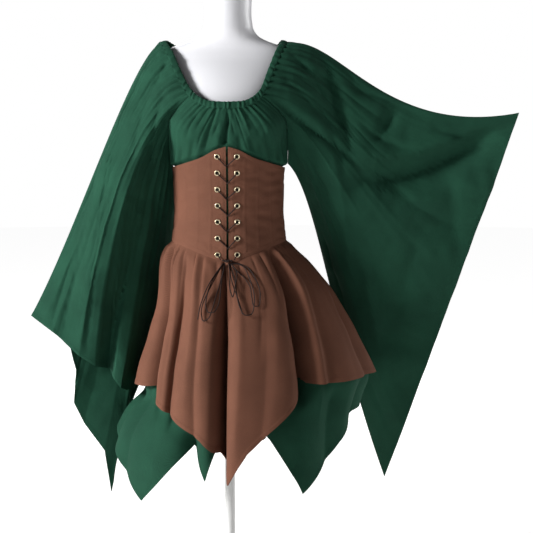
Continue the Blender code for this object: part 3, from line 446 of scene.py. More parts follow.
def neckPoint(angle, down=0.0):
    sign = np.sign(np.sin(np.radians(angle)))
    at = roundAngle(angle)
    x = either(sign, neckCut, "left", "right", at)
    p = pointGrid(sign * x, lookup(neckCut, "y", at), lookup(neckCut, "z", at))
    d = pointGrid(sign * lookup(neckCut, "dx", at), lookup(neckCut, "dy", at), lookup(neckCut, "dz", at))
    return p + unit(d) * down


def bust(angle, z):
    return 0.020 * bell((roundAngle(angle) - 40) / 21) * bell((z - 1.236) / 0.040)


# Bodice: gathered on the neck elastic, falling in soft folds, blousing over the corset's top edge
bodiceLook = {"clothMm": 0.8, "puff": 0.009, "underCorset": 0.006, "frontGathers": 17, "backGathers": 11,
              "gatherMm": 2.3, "foldMm": 4.2, "puckerMm": 3.2, "neckSeamZ": 1.296, "backSeamZ": 1.366,
              "frontRaglan": 36.0, "backRaglan": 144.0, "waistZ": 1.000, "centreCreaseMm": 6.0,
              "frontCut": (0.62, 0.34), "backCut": (0.56, 0.40), "frontArea": 0.128, "backArea": 0.142,
              "gatherReach": 0.22, "reachSpread": 0.16, "frontFolds": 19, "backFolds": 15, "foldHalf": 0.030,
              "foldDrift": 0.10, "puckerHigh": 0.016, "puckerHalf": 0.022, "crumpleMm": 0.5, "crumpleSize": 0.028}
casingLook = {"height": 0.014, "thick": 0.0032, "tuck": 0.0008, "ridgeMm": 2.5, "flat": (1.05, 0.016)}


def bodiceBody(angle, z):
    w = ease((z - corsetEdge("top", angle) - 0.001) / (bodiceLook["puff"] - 0.001))[..., None]
    full = section(bodiceCut, angle, z) + levelNormal(bodiceCut, angle, z) * bust(angle, z)[..., None]
    return section(corsetCut, angle, z, -bodiceLook["underCorset"]) * (1 - w) + full * w


def raglan(share, side, back):  # the sleeve seam from the neck (0) to the underarm (1), and the way out there
    topAngle = bodiceLook["backRaglan" if back else "frontRaglan"]
    topZ = bodiceLook["backSeamZ" if back else "neckSeamZ"]
    angle = side * (topAngle + (90 - topAngle) * share**0.9)
    z = topZ + (corsetEdge("top", 90) + bodiceLook["puff"] - topZ) * share
    w = ease(share / 0.35)[..., None]
    neck = neckPoint(side * topAngle, casingLook["height"] - casingLook["tuck"])
    return neck * (1 - w) + bodiceBody(angle, z) * w, levelNormal(bodiceCut, angle, z)


def gatherWave(index, seed):  # rounded gathers that wander a little from even spacing
    rng = np.random.default_rng(seed)
    knots = np.arange(0, index.max() + 8, 4)
    wander = np.interp(index, knots, rng.uniform(-0.35, 0.35, len(knots)))
    return np.cos(math.pi * (index + wander)) * (0.75 + 0.25 * np.cos(index * 0.37 + seed))


def bodicePanel(name, node, back):
    gathers = bodiceLook["backGathers" if back else "frontGathers"]
    across = np.linspace(-1, 1, 12 * gathers + 1)
    share = np.linspace(0, 1, 58)[:, None]
    topAngle = 180 - bodiceLook["backRaglan"] if back else bodiceLook["frontRaglan"]
    turn, facing = (180.0, -1) if back else (0.0, 1)
    topZ = bodiceLook["backSeamZ" if back else "neckSeamZ"]
    side = across[None, :]
    neck = neckPoint(turn + facing * across * topAngle, casingLook["height"] - casingLook["tuck"])
    angle = turn + facing * side * (topAngle + (90 - topAngle) * share**0.9)
    low = corsetEdge("top", angle) + bodiceLook["puff"]
    edgeZ = topZ + (corsetEdge("top", 90) + bodiceLook["puff"] - topZ) * share
    z = neck[None, :, 2] * (1 - share) + low * share
    z = z + (edgeZ - z) * np.abs(side) ** 6
    w = ease(share / 0.35)[..., None]
    upper = neck[None] * (1 - w) + bodiceBody(angle, z) * w
    last = angle[-1]
    drops = np.linspace(bodiceLook["puff"], -0.012, 13)[1:]
    levels = np.array([corsetEdge("top", last) + d for d in drops]
                      + [0 * last + level for level in np.linspace(1.11, bodiceLook["waistZ"], 6)])
    grid = np.concatenate([upper, bodiceBody(last[None, :] + 0 * levels, levels)])
    n = outward(grid, (0, 0, 1.2))
    along = np.concatenate([share[:, 0], 1 + np.linspace(0.02, 0.3, len(levels))])[:, None]
    free = ease((grid[..., 2] - corsetEdge("top", np.degrees(np.arctan2(grid[..., 0], -grid[..., 1]))) - 0.002) / 0.008)
    inside = (1 - np.abs(across) ** 12)[None, :]
    index = (across + 1) * gathers
    reach = bodiceLook["gatherReach"] + bodiceLook["reachSpread"] * np.cos(index * 0.9 + 1)[None, :]
    lift = 0.001 * bodiceLook["gatherMm"] * gatherWave(index, 3)[None, :] * np.exp(-along / reach)
    folds = bodiceLook["backFolds" if back else "frontFolds"]
    lift = lift + driftingFolds(side, along, folds, 11 + back, (-0.95, 0.95), bodiceLook["foldHalf"],
                                0.001 * bodiceLook["foldMm"], bodiceLook["foldDrift"]) * ease(along / 0.12)
    above = grid[..., 2] - corsetEdge("top", roundAngle(np.degrees(np.arctan2(grid[..., 0], -grid[..., 1]))))
    pucker = np.cos(index * 2.1 + 0.8 * np.sin(index * 0.7)) * (0.6 + 0.4 * np.sin(index * 1.3))
    lift = lift + 0.001 * bodiceLook["puckerMm"] * pucker[None, :] * bell(
        (above - bodiceLook["puckerHigh"]) / bodiceLook["puckerHalf"])
    if not back:
        centre = bell((side - 0.015 * np.sin(along * 5)) / 0.022) * ease((along - 0.10) / 0.35)
        lift = lift - 0.001 * bodiceLook["centreCreaseMm"] * centre
    lift = lift + 0.001 * bodiceLook["crumpleMm"] * crumple(grid, bodiceLook["crumpleSize"], 5 + back)
    grid = grid + n * (lift * inside * free)[..., None]
    obj, outer = shell(name, grid, 0.001 * bodiceLook["clothMm"], cotton, (0, 0, 1.2), [node])


# Butterfly sleeves. Across runs from the top edge (0) to the underarm edge (1); the guides steer the cloth from seam
# to hem, and half is how far the front and back layers stand from the middle there.
leftSleeve = {
    "guides": tableOf("across x1 y1 z1 half1 x2 y2 z2 half2", [
        (0.0, 0.235, 0.000, 1.440, 0.072, 0.330, 0.000, 1.212, 0.048),
        (0.5, 0.210, 0.010, 1.245, 0.085, 0.290, 0.060, 1.000, 0.052),
        (1.0, 0.195, 0.050, 1.100, 0.070, 0.240, 0.210, 0.750, 0.050)]),
    "frontHem": tableOf("across x y z", [
        (0.00, 0.629, 0.000, 1.268), (0.15, 0.588, 0.008, 1.138), (0.50, 0.495, 0.070, 0.834),
        (0.85, 0.405, 0.142, 0.530), (1.00, 0.368, 0.190, 0.400)]),
    "backHem": tableOf("across x y z", [
        (0.00, 0.629, 0.000, 1.268), (0.15, 0.588, 0.045, 1.138), (0.50, 0.495, 0.118, 0.834),
        (0.85, 0.405, 0.184, 0.530), (1.00, 0.368, 0.190, 0.400)]),
    # Folds as a bend through three points seen from the front, with half width and depth (positive sinks)
    "folds": tableMm("x0 z0 x1 z1 x2 z2 half depth", [
        (95, 1290, 185, 1225, 277, 1160, 11, 14), (205, 1385, 235, 1270, 262, 1190, 20, 24),
        (290, 1125, 450, 1110, 600, 1255, 30, 40), (280, 1175, 430, 1160, 610, 1275, 24, -14),
        (372, 1290, 350, 1255, 325, 1215, 14, 14), (300, 1020, 340, 860, 390, 640, 40, 10)]),
    "creases": tableMm("x0 z0 x1 z1 x2 z2 half depth", [
        (140, 1385, 190, 1345, 215, 1270, 7, 6), (125, 1330, 170, 1290, 230, 1235, 8, 7),
        (165, 1415, 225, 1400, 270, 1340, 9, 8), (185, 1300, 230, 1215, 255, 1110, 9, 6),
        (225, 1180, 255, 1060, 270, 900, 12, -6), (330, 1140, 400, 1060, 500, 1020, 12, 5),
        (420, 1020, 400, 900, 370, 780, 16, 6), (350, 1290, 440, 1262, 560, 1270, 14, 7),
        (450, 1235, 520, 1200, 600, 1235, 10, 6), (300, 930, 325, 800, 360, 680, 14, -6),
        (290, 1240, 350, 1185, 430, 1190, 10, 7), (255, 1330, 300, 1300, 350, 1300, 10, 7),
        (480, 1130, 500, 1040, 510, 930, 18, 5), (560, 1160, 570, 1110, 560, 1050, 12, -4)]),
    "cut": (0.98, 0.72), "frontArea": 0.38, "backArea": 0.38,
}
rightSleeve = {
    "guides": tableOf("across x1 y1 z1 half1 x2 y2 z2 half2", [
        (0.0, 0.205, 0.000, 1.398, 0.070, 0.337, 0.000, 1.000, 0.070),
        (0.5, 0.190, 0.010, 1.230, 0.085, 0.262, 0.020, 0.930, 0.080),
        (1.0, 0.108, 0.074, 1.080, 0.045, 0.118, 0.160, 0.860, 0.050)]),
    "frontHem": tableOf("across x y z", [
        (0.00, 0.438, 0.000, 0.824), (0.18, 0.385, -0.035, 0.793), (0.34, 0.325, -0.045, 0.742),
        (0.43, 0.292, -0.042, 0.718), (0.53, 0.268, -0.012, 0.706), (0.63, 0.252, -0.045, 0.690),
        (0.74, 0.236, -0.050, 0.672), (0.84, 0.228, -0.015, 0.660), (0.92, 0.218, 0.035, 0.655),
        (1.00, 0.210, 0.105, 0.662)]),
    "backHem": tableOf("across x y z", [
        (0.00, 0.438, 0.000, 0.824), (0.12, 0.402, 0.030, 0.790), (0.24, 0.362, 0.052, 0.740),
        (0.36, 0.352, 0.060, 0.690), (0.48, 0.358, 0.060, 0.612), (0.58, 0.337, 0.065, 0.565),
        (0.68, 0.290, 0.062, 0.500), (0.76, 0.275, 0.060, 0.400), (0.84, 0.262, 0.098, 0.505),
        (0.92, 0.234, 0.112, 0.595), (1.00, 0.210, 0.105, 0.662)]),
    "folds": tableMm("x0 z0 x1 z1 x2 z2 half depth", [
        (268, 700, 245, 850, 185, 1080, 19, 26), (366, 760, 335, 920, 295, 1110, 20, 12),
        (150, 1385, 205, 1370, 215, 1320, 14, 12), (125, 1350, 180, 1320, 205, 1250, 14, 10),
        (320, 780, 290, 950, 255, 1200, 22, -10)]),
    "creases": tableMm("x0 z0 x1 z1 x2 z2 half depth", [
        (150, 1330, 185, 1270, 200, 1180, 10, 8), (185, 1395, 235, 1350, 260, 1250, 10, 8),
        (135, 1300, 160, 1230, 170, 1130, 8, 7), (215, 1330, 245, 1240, 262, 1130, 12, -7),
        (160, 1200, 160, 1080, 175, 930, 9, 8), (240, 1230, 270, 1080, 290, 950, 12, 7),
        (215, 1100, 235, 940, 262, 800, 12, -8), (300, 1060, 350, 930, 395, 840, 12, -7),
        (330, 980, 365, 890, 385, 810, 9, 6), (150, 1060, 170, 900, 200, 740, 10, 7),
        (285, 960, 300, 850, 310, 760, 10, 6), (205, 1420, 225, 1390, 240, 1340, 8, 6),
        (110, 1395, 130, 1370, 150, 1330, 6, 6)]),
    "cut": (0.92, 0.62), "frontArea": 0.265, "backArea": 0.265,
}
sleeveLook = {"clothMm": 0.8, "hemMm": 1.7, "hemWidth": 0.009, "neckShare": 0.36, "gathers": 10, "gatherMm": 3.4,
              "lap": 0.0010, "layerGap": 0.00045, "foldMm": 5.0, "folds": 17, "foldHalf": 0.017, "foldDrift": 0.08,
              "gatherReach": 0.11, "reachSpread": 0.06, "crumpleMm": 1.6, "fineCrumpleMm": 0.6}


def sunkAlong(folds, grid):  # how far each point sinks, from its distance to each fold line seen from the front
    sink = np.zeros(grid.shape[:2])
    flat = grid[..., [0, 2]]
    for i in range(len(folds["half"])):
        a, b, c = (np.array([folds["x" + k][i], folds["z" + k][i]]) for k in "012")
        t = np.linspace(0, 1, 25)[:, None]
        line = a * (1 - t) ** 2 + 2 * b * t * (1 - t) + c * t * t
        strength = np.sin(math.pi * np.clip(t[:, 0], 0.08, 0.92)) ** 0.5
        away = np.linalg.norm(flat[:, :, None, :] - line, axis=-1)
        sink += folds["depth"][i] * crease(away.min(axis=-1) / folds["half"][i]) * strength[away.argmin(axis=-1)]
    return sink


def sleevePanel(name, node, sleeve, side, back):
    look = sleeveLook
    neckShare = look["neckShare"]
    gatherAcross = np.linspace(0, neckShare, 10 * look["gathers"] + 1)
    seamShare = np.linspace(0, 1, 101)[1:]
    across = np.concatenate([gatherAcross, neckShare + (1 - neckShare) * seamShare])
    along = np.concatenate([np.linspace(0, 1, 84) ** 1.2 * 0.985, [0.9895, 0.994, 1.0]])
    endAngle = bodiceLook["backRaglan" if back else "frontRaglan"]
    turn = (endAngle - 90) * gatherAcross / neckShare
    neck = neckPoint(side * (90 + turn), casingLook["height"] - casingLook["tuck"])
    seam, out = raglan(seamShare, side, back)
    seam = seam + out * (look["lap"] * ease(seamShare / 0.2))[..., None]
    start = np.concatenate([neck, seam])
    start[:, 0] *= side
    hemRows = sleeve["backHem" if back else "frontHem"]
    hem = pointGrid(*(straight(hemRows, k, across) for k in "xyz"))
    guides = sleeve["guides"]
    lens = np.sin(math.pi * np.clip(across, 0, 1)) ** 0.6 * (1 if back else -1)

    def control(suffix):
        y = lookup(guides, "y" + suffix, across) + lens * lookup(guides, "half" + suffix, across)
        return pointGrid(lookup(guides, "x" + suffix, across), y, lookup(guides, "z" + suffix, across))

    t = along[:, None, None]
    grid = start * (1 - t) ** 3 + 3 * control("1") * t * (1 - t) ** 2 + 3 * control("2") * t * t * (1 - t) + hem * t**3
    edges = ease(along / 0.10)[:, None] * ease(across / 0.10) * ease((1 - across) / 0.10)
    near = ease(along / 0.06)[:, None] * ease(across / 0.04) * ease((1 - across) / 0.04)
    sink = sunkAlong(sleeve["folds"], grid) * edges + sunkAlong(sleeve["creases"], grid) * near
    grid[..., 1] += sink * (0.9 if back else 1.0)
    n = outward(grid, (0.25, 0, 1.0))
    index = np.clip(across / neckShare, 0, 1) * 2 * look["gathers"]
    gathered = np.where(across < neckShare, 1.0, 0.0) * ease(across / 0.03) * ease((neckShare - across) / 0.015)
    reach = look["gatherReach"] + look["reachSpread"] * np.cos(index * 1.1 + 2)[None, :]
    wave = gatherWave(index, 7 + side) * gathered
    lift = 0.001 * look["gatherMm"] * wave[None, :] * np.exp(-along[:, None] / reach)
    seed = 31 + 2 * side + back
    lift = lift + driftingFolds(across[None, :], along[:, None], look["folds"], seed, (0.03, 0.97), look["foldHalf"],
                                0.001 * look["foldMm"], look["foldDrift"]) * near * (1 - 0.35 * along[:, None])
    rough = look["crumpleMm"] * crumple(grid, 0.10, seed) + look["fineCrumpleMm"] * crumple(grid, 0.035, seed + 1)
    lift = lift + 0.001 * rough * near
    grid = grid + n * lift[..., None]
    grid[..., 1] += look["layerGap"] * (1 if back else -1)
    grid[..., 0] *= side
    thick = hemThickness(grid, 0.001 * look["clothMm"], 0.001 * look["hemMm"], look["hemWidth"])
    obj, outer = shell(name, grid, thick, cotton, (0.25 * side, 0, 1.0), [node])
    return alongHem(outer, look["hemWidth"] - 0.001)


def neckCasing():  # the tube sewn round the elastic, drawn up into fine ridges
    gathers = 2 * (bodiceLook["frontGathers"] + bodiceLook["backGathers"] + 4 * sleeveLook["gathers"])
    front, back = bodiceLook["frontRaglan"], bodiceLook["backRaglan"]
    spans = ((-front, front, bodiceLook["frontGathers"]), (front, back, 2 * sleeveLook["gathers"]),
             (back, 360 - back, bodiceLook["backGathers"]), (360 - back, 360 - front, 2 * sleeveLook["gathers"]))
    angle = np.concatenate([np.linspace(a, b, 10 * g, endpoint=False) for a, b, g in spans])
    index = np.concatenate([np.linspace(0, 2 * g, 10 * g, endpoint=False) for a, b, g in spans])
    top, bottom = neckPoint(angle), neckPoint(angle, casingLook["height"])
    n = outward(np.stack([top, bottom]), (0, 0, 1.33), around=True)
    wander = 0.5 * np.sin(np.radians(angle) * 23) + 0.4 * np.sin(np.radians(angle) * 41)
    ridge = 0.5 + 0.5 * np.cos(math.pi * index + wander)
    tall = 0.55 + 0.45 * np.sin(np.radians(angle) * 31 + 1)
    rows = []
    for turn in np.linspace(0, 2 * math.pi, 14, endpoint=False):
        h, d = 0.5 - 0.5 * math.cos(turn), math.sin(turn)
        belly = abs(d) ** 0.6 * (0.5 * casingLook["thick"] + 0.001 * casingLook["ridgeMm"] * ridge * tall * (d > 0))
        here = top * (1 - h) + bottom * h
        out = unit(n[0] * (1 - h) + n[1] * h)
        edge = 0.0007 * ridge * math.cos(turn)
        rows.append(here + out * (math.copysign(1, d) * belly)[..., None] + unit(top - bottom) * edge[..., None])
    ring = np.stack(rows)
    verts = ring.reshape(-1, 3)
    count = len(angle)
    faces = gridFaces(len(rows), count, True).tolist()
    last, first = np.arange(count) + (len(rows) - 1) * count, np.arange(count)
    faces += ringFaces(last, first)
    uv = np.stack([np.broadcast_to(np.radians(angle) * 0.12, ring.shape[:2]),
                   np.broadcast_to(np.linspace(0, 0.032, len(rows))[:, None], ring.shape[:2])], axis=-1)
    piece = addPiece("neckCasing", verts, faces, uv.reshape(-1, 2), cotton, ["neck_casing"], 80)


def turnedPiece(name, profile, sides, finish, nodes, place=None, ring=False):  # a lathe piece from (radius, height)
    turn = np.linspace(0, 2 * math.pi, sides, endpoint=False)
    r, h = np.array(profile, float).T
    grid = pointGrid(r[:, None] * np.cos(turn), r[:, None] * np.sin(turn), h[:, None] + 0 * turn)
    faces = gridFaces(len(profile), sides, True).tolist()
    first, last = np.arange(sides), np.arange(sides) + (len(profile) - 1) * sides
    if ring:
        faces += ringFaces(last, first)
    else:
        faces += [first.tolist(), last.tolist()]
    verts = grid.reshape(-1, 3)
    if place is not None:
        middle, n = place
        matrix = np.array(Vector(n).to_track_quat("Z", "Y").to_matrix())
        verts = verts @ matrix.T + middle
    return addPiece(name, verts, faces, None, finish, nodes, 40)


def roundedProfile(radius, low, high, edge, steps=5):  # an upright disc or bar with rounded rims
    turn = np.linspace(0, math.pi / 2, steps)
    under = [(radius - edge + edge * math.sin(a), low + edge - edge * math.cos(a)) for a in turn]
    over = [(radius - edge + edge * math.cos(a), high - edge + edge * math.sin(a)) for a in turn]
    return under + over


# The form is a limbless shop torso; the stand is a round plate with a pole
formLook = {"columns": 112, "rows": 150, "bottomZ": 0.800, "topZ": 1.556, "rimInset": 0.96, "rimRise": 0.0012,
            "bustShare": 0.45}
standLook = {"poleRadius": 0.011, "baseRadius": 0.150, "baseThick": 0.012, "baseEdge": 0.004, "poleEdge": 0.0005,
             "gap": 0.0003}


def dressForm():
    look, count = formLook, formLook["columns"]
    angle = np.linspace(-180, 180, count, endpoint=False)
    z = np.linspace(look["bottomZ"], look["topZ"], look["rows"])[:, None]
    grid = section(formCut, angle[None, :], z + 0 * angle[None, :])
    grid[..., 1] -= look["bustShare"] * bust(angle[None, :], z)
    rim = grid[0] * np.array([look["rimInset"], look["rimInset"], 1.0])
    grid = np.concatenate([rim[None], grid])
    grid[1, :, 2] += look["rimRise"]
    faces = gridFaces(len(grid), count, True).tolist()
    faces += [list(range(count)), list(range((len(grid) - 1) * count, len(grid) * count))]
    addPiece("dressForm", grid.reshape(-1, 3), faces, None, gelCoat, ["dress_form"], 50)
    stand = standLook
    turnedPiece("standBase", roundedProfile(stand["baseRadius"], 0.0, stand["baseThick"], stand["baseEdge"]), 96,
                powder, ["stand_base"])
    turnedPiece("standPole", roundedProfile(stand["poleRadius"], stand["baseThick"] + stand["gap"],
                                            look["bottomZ"] - stand["gap"], stand["poleEdge"]), 40, powder,
                ["stand_pole"])


# Corset: lined twill panels with boning channels between rows of stitches, bound edges and seven pairs of eyelets
corsetLook = {"clothMm": 2.0, "channelMm": 0.7, "channelHalf": 0.0032, "bindingMm": 0.8, "bindingWidth": 0.0085,
              "channels": (0.0105, 0.036, 0.064, 0.092), "rows": 7, "topZ": 1.175, "pitch": 0.0343, "x": 0.0205,
              "hole": 0.0040, "halfGap": 0.0022, "creaseMm": 1.6, "frontFlat": (0.21, 0.24), "frontArea": 0.0355,
              "backFlat": (0.37, 0.165), "sideSeam": 89.85, "radius": 0.12, "edgeSoft": 0.0012, "ridgeSoft": 0.0014,
              "seamAside": 0.0009}
eyeletLook = {"hole": 0.0034, "radius": 0.0061, "thick": 0.0014, "sides": 36}


def corsetAt(angle, z):
    p = section(corsetCut, angle, z)
    along = section(corsetCut, angle + 0.5, z) - section(corsetCut, angle - 0.5, z)
    up = section(corsetCut, angle, z + 0.004) - section(corsetCut, angle, z - 0.004)
    return p, unit(np.cross(along, up))


def onCorset(x, z, depth):  # a point at x from the centre front, standing out from the corset's middle surface
    angle = np.degrees(np.arcsin(x / lookup(corsetCut, "width", z)))
    p, n = corsetAt(angle, z)
    return p + n * np.asarray(depth)[..., None], n


def corsetPanel(name, node, angles, channelAngles, seed):
    angle = np.asarray(angles, float)[None, :]
    low, high = corsetEdge("bottom", angle), corsetEdge("top", angle)
    edge = np.concatenate([np.linspace(0, 0.055, 9), np.linspace(0.055, 0.945, 70)[1:-1], np.linspace(0.945, 1, 9)])
    share = edge[:, None]
    z = high * (1 - share) + low * share
    grid, n = corsetAt(angle + 0 * share, z)
    tall = high - low
    near = np.minimum(share * tall, (1 - share) * tall)
    lift = 0.0005 * corsetLook["bindingMm"] * ease((corsetLook["bindingWidth"] - near) / corsetLook["edgeSoft"] + 0.5)
    around = corsetLook["radius"] * np.radians(angle)
    channelsAt = [corsetLook["radius"] * math.radians(c) for c in channelAngles]
    for c in channelsAt:
        ridge = ease((corsetLook["channelHalf"] - np.abs(around - c)) / corsetLook["ridgeSoft"] + 0.5)
        lift = lift + 0.0005 * corsetLook["channelMm"] * ridge * (near > corsetLook["bindingWidth"])
    body = ease(near / 0.02)
    soft = 0.0005 * corsetLook["creaseMm"] * (crumple(grid * np.array([1.3, 1.3, 2.3]), 0.06, seed) - 0.6) * body
    grid = grid + n * (np.minimum(soft, 0.0001) - 0.0001)[..., None]
    thick = 0.001 * corsetLook["clothMm"] - 0.0004 + 2 * lift
    obj, outer = shell(name, grid, thick, twill, (0, 0, 1.08), [node])
    seams = []
    for c in channelsAt:
        for gap in (-1, 1):
            at = np.abs(around[0] - c - gap * (corsetLook["channelHalf"] + corsetLook["seamAside"])).argmin()
            seams.append(outer[9:-9, at])
    return obj, seams + [outer[7], outer[-8]]


def pierce(panel, side):  # punches the lace holes, with the cut left in the mesh
    bm = bmesh.new()
    for row in range(corsetLook["rows"]):
        p, n = onCorset(np.array(side * corsetLook["x"]), np.array(corsetLook["topZ"] - row * corsetLook["pitch"]), 0.0)
        turn = Vector(n).to_track_quat("Z", "Y").to_matrix().to_4x4()
        turn.translation = Vector(p)
        bmesh.ops.create_cone(bm, cap_ends=True, segments=24, radius1=corsetLook["hole"], radius2=corsetLook["hole"],
                              depth=0.012, matrix=turn)
    mesh = bpy.data.meshes.new("punch")
    bm.to_mesh(mesh)
    bm.free()
    punch = addToScene(bpy.data.objects.new("punch", mesh))
    cut = panel.modifiers.new("Lace holes", "BOOLEAN")
    cut.operation = "DIFFERENCE"
    cut.solver = "EXACT"
    cut.object = punch
    whole = bpy.data.meshes.new_from_object(panel.evaluated_get(bpy.context.evaluated_depsgraph_get()))
    panel.modifiers.clear()
    panel.data = whole
    bpy.data.objects.remove(punch)


def corset():
    gap = math.degrees(math.asin(corsetLook["halfGap"] / corsetLook["radius"]))
    angles = np.linspace(gap, corsetLook["sideSeam"], 118)
    channels = [math.degrees(math.asin(x / 0.121)) for x in corsetLook["channels"]]
    seams = []
    for side, label in ((1, "Left"), (-1, "Right")):
        panel, rows = corsetPanel("corsetFront" + label, "corset_front_" + label.lower(), angles[::side] * side,
                                  [side * c for c in channels], 3 + side)
        pierce(panel, side)
        seams += rows
    panel, rows = corsetPanel("corsetBack", "corset_back", np.linspace(90.15, 269.85, 150),
                              (112, 138, 165, 180, 195, 222, 248), 9)
    stitchRows("corsetStitching", seams + rows, twill, (0, 0, 1.08))
    e = eyeletLook
    half = (e["radius"] - e["hole"]) / 2
    profile = [(e["hole"] + 0.0001, 0.0)] + [(e["hole"] + half - half * math.cos(a), 0.0001 + e["thick"] * math.sin(a))
                                             for a in np.linspace(0.05, math.pi, 12)] + [(e["radius"] - 0.0002, 0.0)]
    for side, label in ((1, "Left"), (-1, "Right")):
        for row in range(corsetLook["rows"]):
            z = corsetLook["topZ"] - row * corsetLook["pitch"]
            p, n = onCorset(np.array(side * corsetLook["x"]), np.array(z), np.array(0.001 * corsetLook["clothMm"] / 2))
            turnedPiece(f"eyelet{label}{row + 1}", profile, e["sides"], brass, [f"eyelet_{label.lower()}_{row + 1}"],
                        (p, n), ring=True)


# Lace: one round cord up and down the front, tied at the foot in a bow whose loops and ends hang free
laceLook = {"radius": 0.0011, "lift": 0.0015, "knotZ": 0.9575, "knot": (0.0250, 0.0110, 0.0090), "pitch": 0.0031,
            "contact": 0.0003, "sides": 12}
# The knot: a cord wrapped round two that pass through it
knotLook = {"turns": 2.6, "wrapHalf": 0.0036, "wrapDeep": 0.0038, "wrapTall": 0.0030, "throughHalf": 0.0108,
            "belowHalf": 0.0102, "bend": 0.0016, "inFront": 0.0077}
# The bow hangs from the knot: place across and below it along each cord
bowRoutes = {
    "bowLoopRight1": ("bow_loop_right_1", 1, tableOf("at x z", [
        (0.00, -0.0090, -0.0055), (0.14, -0.026, -0.036), (0.30, -0.046, -0.076), (0.42, -0.0525, -0.100),
        (0.50, -0.0464, -0.117), (0.58, -0.036, -0.110), (0.70, -0.026, -0.082), (0.85, -0.014, -0.042),
        (1.00, -0.0058, -0.0055)])),
    "bowLoopRight2": ("bow_loop_right_2", 2, tableOf("at x z", [
        (0.00, -0.0080, -0.0055), (0.16, -0.028, -0.034), (0.33, -0.041, -0.068), (0.44, -0.042, -0.091),
        (0.52, -0.034, -0.101), (0.60, -0.022, -0.095), (0.70, -0.0150, -0.076), (0.86, -0.0110, -0.038),
        (1.00, -0.0048, -0.0055)])),
    "bowLoopLeft1": ("bow_loop_left_1", 1, tableOf("at x z", [
        (0.00, 0.0103, -0.0055), (0.13, 0.028, -0.0068), (0.24, 0.046, -0.0165), (0.38, 0.064, -0.046),
        (0.50, 0.069, -0.070), (0.60, 0.061, -0.092), (0.70, 0.053, -0.075), (0.82, 0.044, -0.042),
        (0.92, 0.021, -0.021), (1.00, 0.0062, -0.0055)])),
    "bowLoopLeft2": ("bow_loop_left_2", 2, tableOf("at x z", [
        (0.00, 0.0085, -0.0055), (0.12, 0.031, -0.009), (0.27, 0.050, -0.043), (0.40, 0.057, -0.075),
        (0.47, 0.054, -0.096), (0.53, 0.045, -0.108), (0.60, 0.033, -0.099), (0.72, 0.022, -0.072),
        (0.86, 0.017, -0.038), (1.00, 0.0050, -0.0055)])),
    "bowLoopLeft3": ("bow_loop_left_3", 3, tableOf("at x z", [
        (0.00, 0.0030, -0.0055), (0.20, 0.0060, -0.028), (0.38, 0.0062, -0.052), (0.50, 0.0124, -0.069),
        (0.62, 0.0170, -0.050), (0.82, 0.0200, -0.022), (1.00, 0.0078, -0.0055)])),
    "bowTailRight": ("bow_tail_right", 3, tableOf("at x z", [
        (0.00, -0.0095, -0.0055), (0.30, -0.033, -0.038), (0.62, -0.0485, -0.0700), (0.82, -0.0555, -0.093),
        (1.00, -0.0590, -0.114)])),
    "bowTailLeft": ("bow_tail_left", 1, tableOf("at x z", [
        (0.00, 0.0025, -0.0055), (0.35, 0.0100, -0.040), (0.70, 0.0240, -0.076), (1.00, 0.0330, -0.103)])),
}


def smoothLine(points, step=0.0012):  # a smooth curve through the route's points, evenly stepped
    points = np.array(points, float)
    run = runAlong(points)
    rows = {"key": "run", "run": run, **{k: points[:, i] for i, k in enumerate("xyz")}}
    at = np.linspace(0, run[-1], max(int(run[-1] / step), 8))
    return pointGrid(*(lookup(rows, k, at) for k in "xyz"))


def cordTube(name, line, radius, nodes):  # a round cord with closed, rounded ends
    sides = laceLook["sides"]
    way = unit(np.gradient(line, axis=0))
    frames = [unit(np.cross(way[0], [0.3, 1.0, 0.2]))]
    for w in way[1:]:
        frames.append(unit(frames[-1] - w * np.dot(frames[-1], w)))
    side = np.array(frames)
    up = np.cross(way, side)
    turn = np.linspace(0, 2 * math.pi, sides, endpoint=False)
    wide = np.full(len(line), radius)
    wide[[0, -1]] *= 0.8
    spokes = side[:, None] * np.cos(turn)[:, None] + up[:, None] * np.sin(turn)[:, None]
    ring = line[:, None] + wide[:, None, None] * spokes
    faces = gridFaces(len(line), sides, True).tolist()
    faces += [list(range(sides)), list(range((len(line) - 1) * sides, len(line) * sides))]
    run = runAlong(line)
    uv = np.stack([np.broadcast_to(run[:, None], ring.shape[:2]),
                   np.broadcast_to(turn * radius, ring.shape[:2])], axis=-1).reshape(-1, 2)
    return addPiece(name, ring.reshape(-1, 3), faces, uv, cord, nodes, 60)


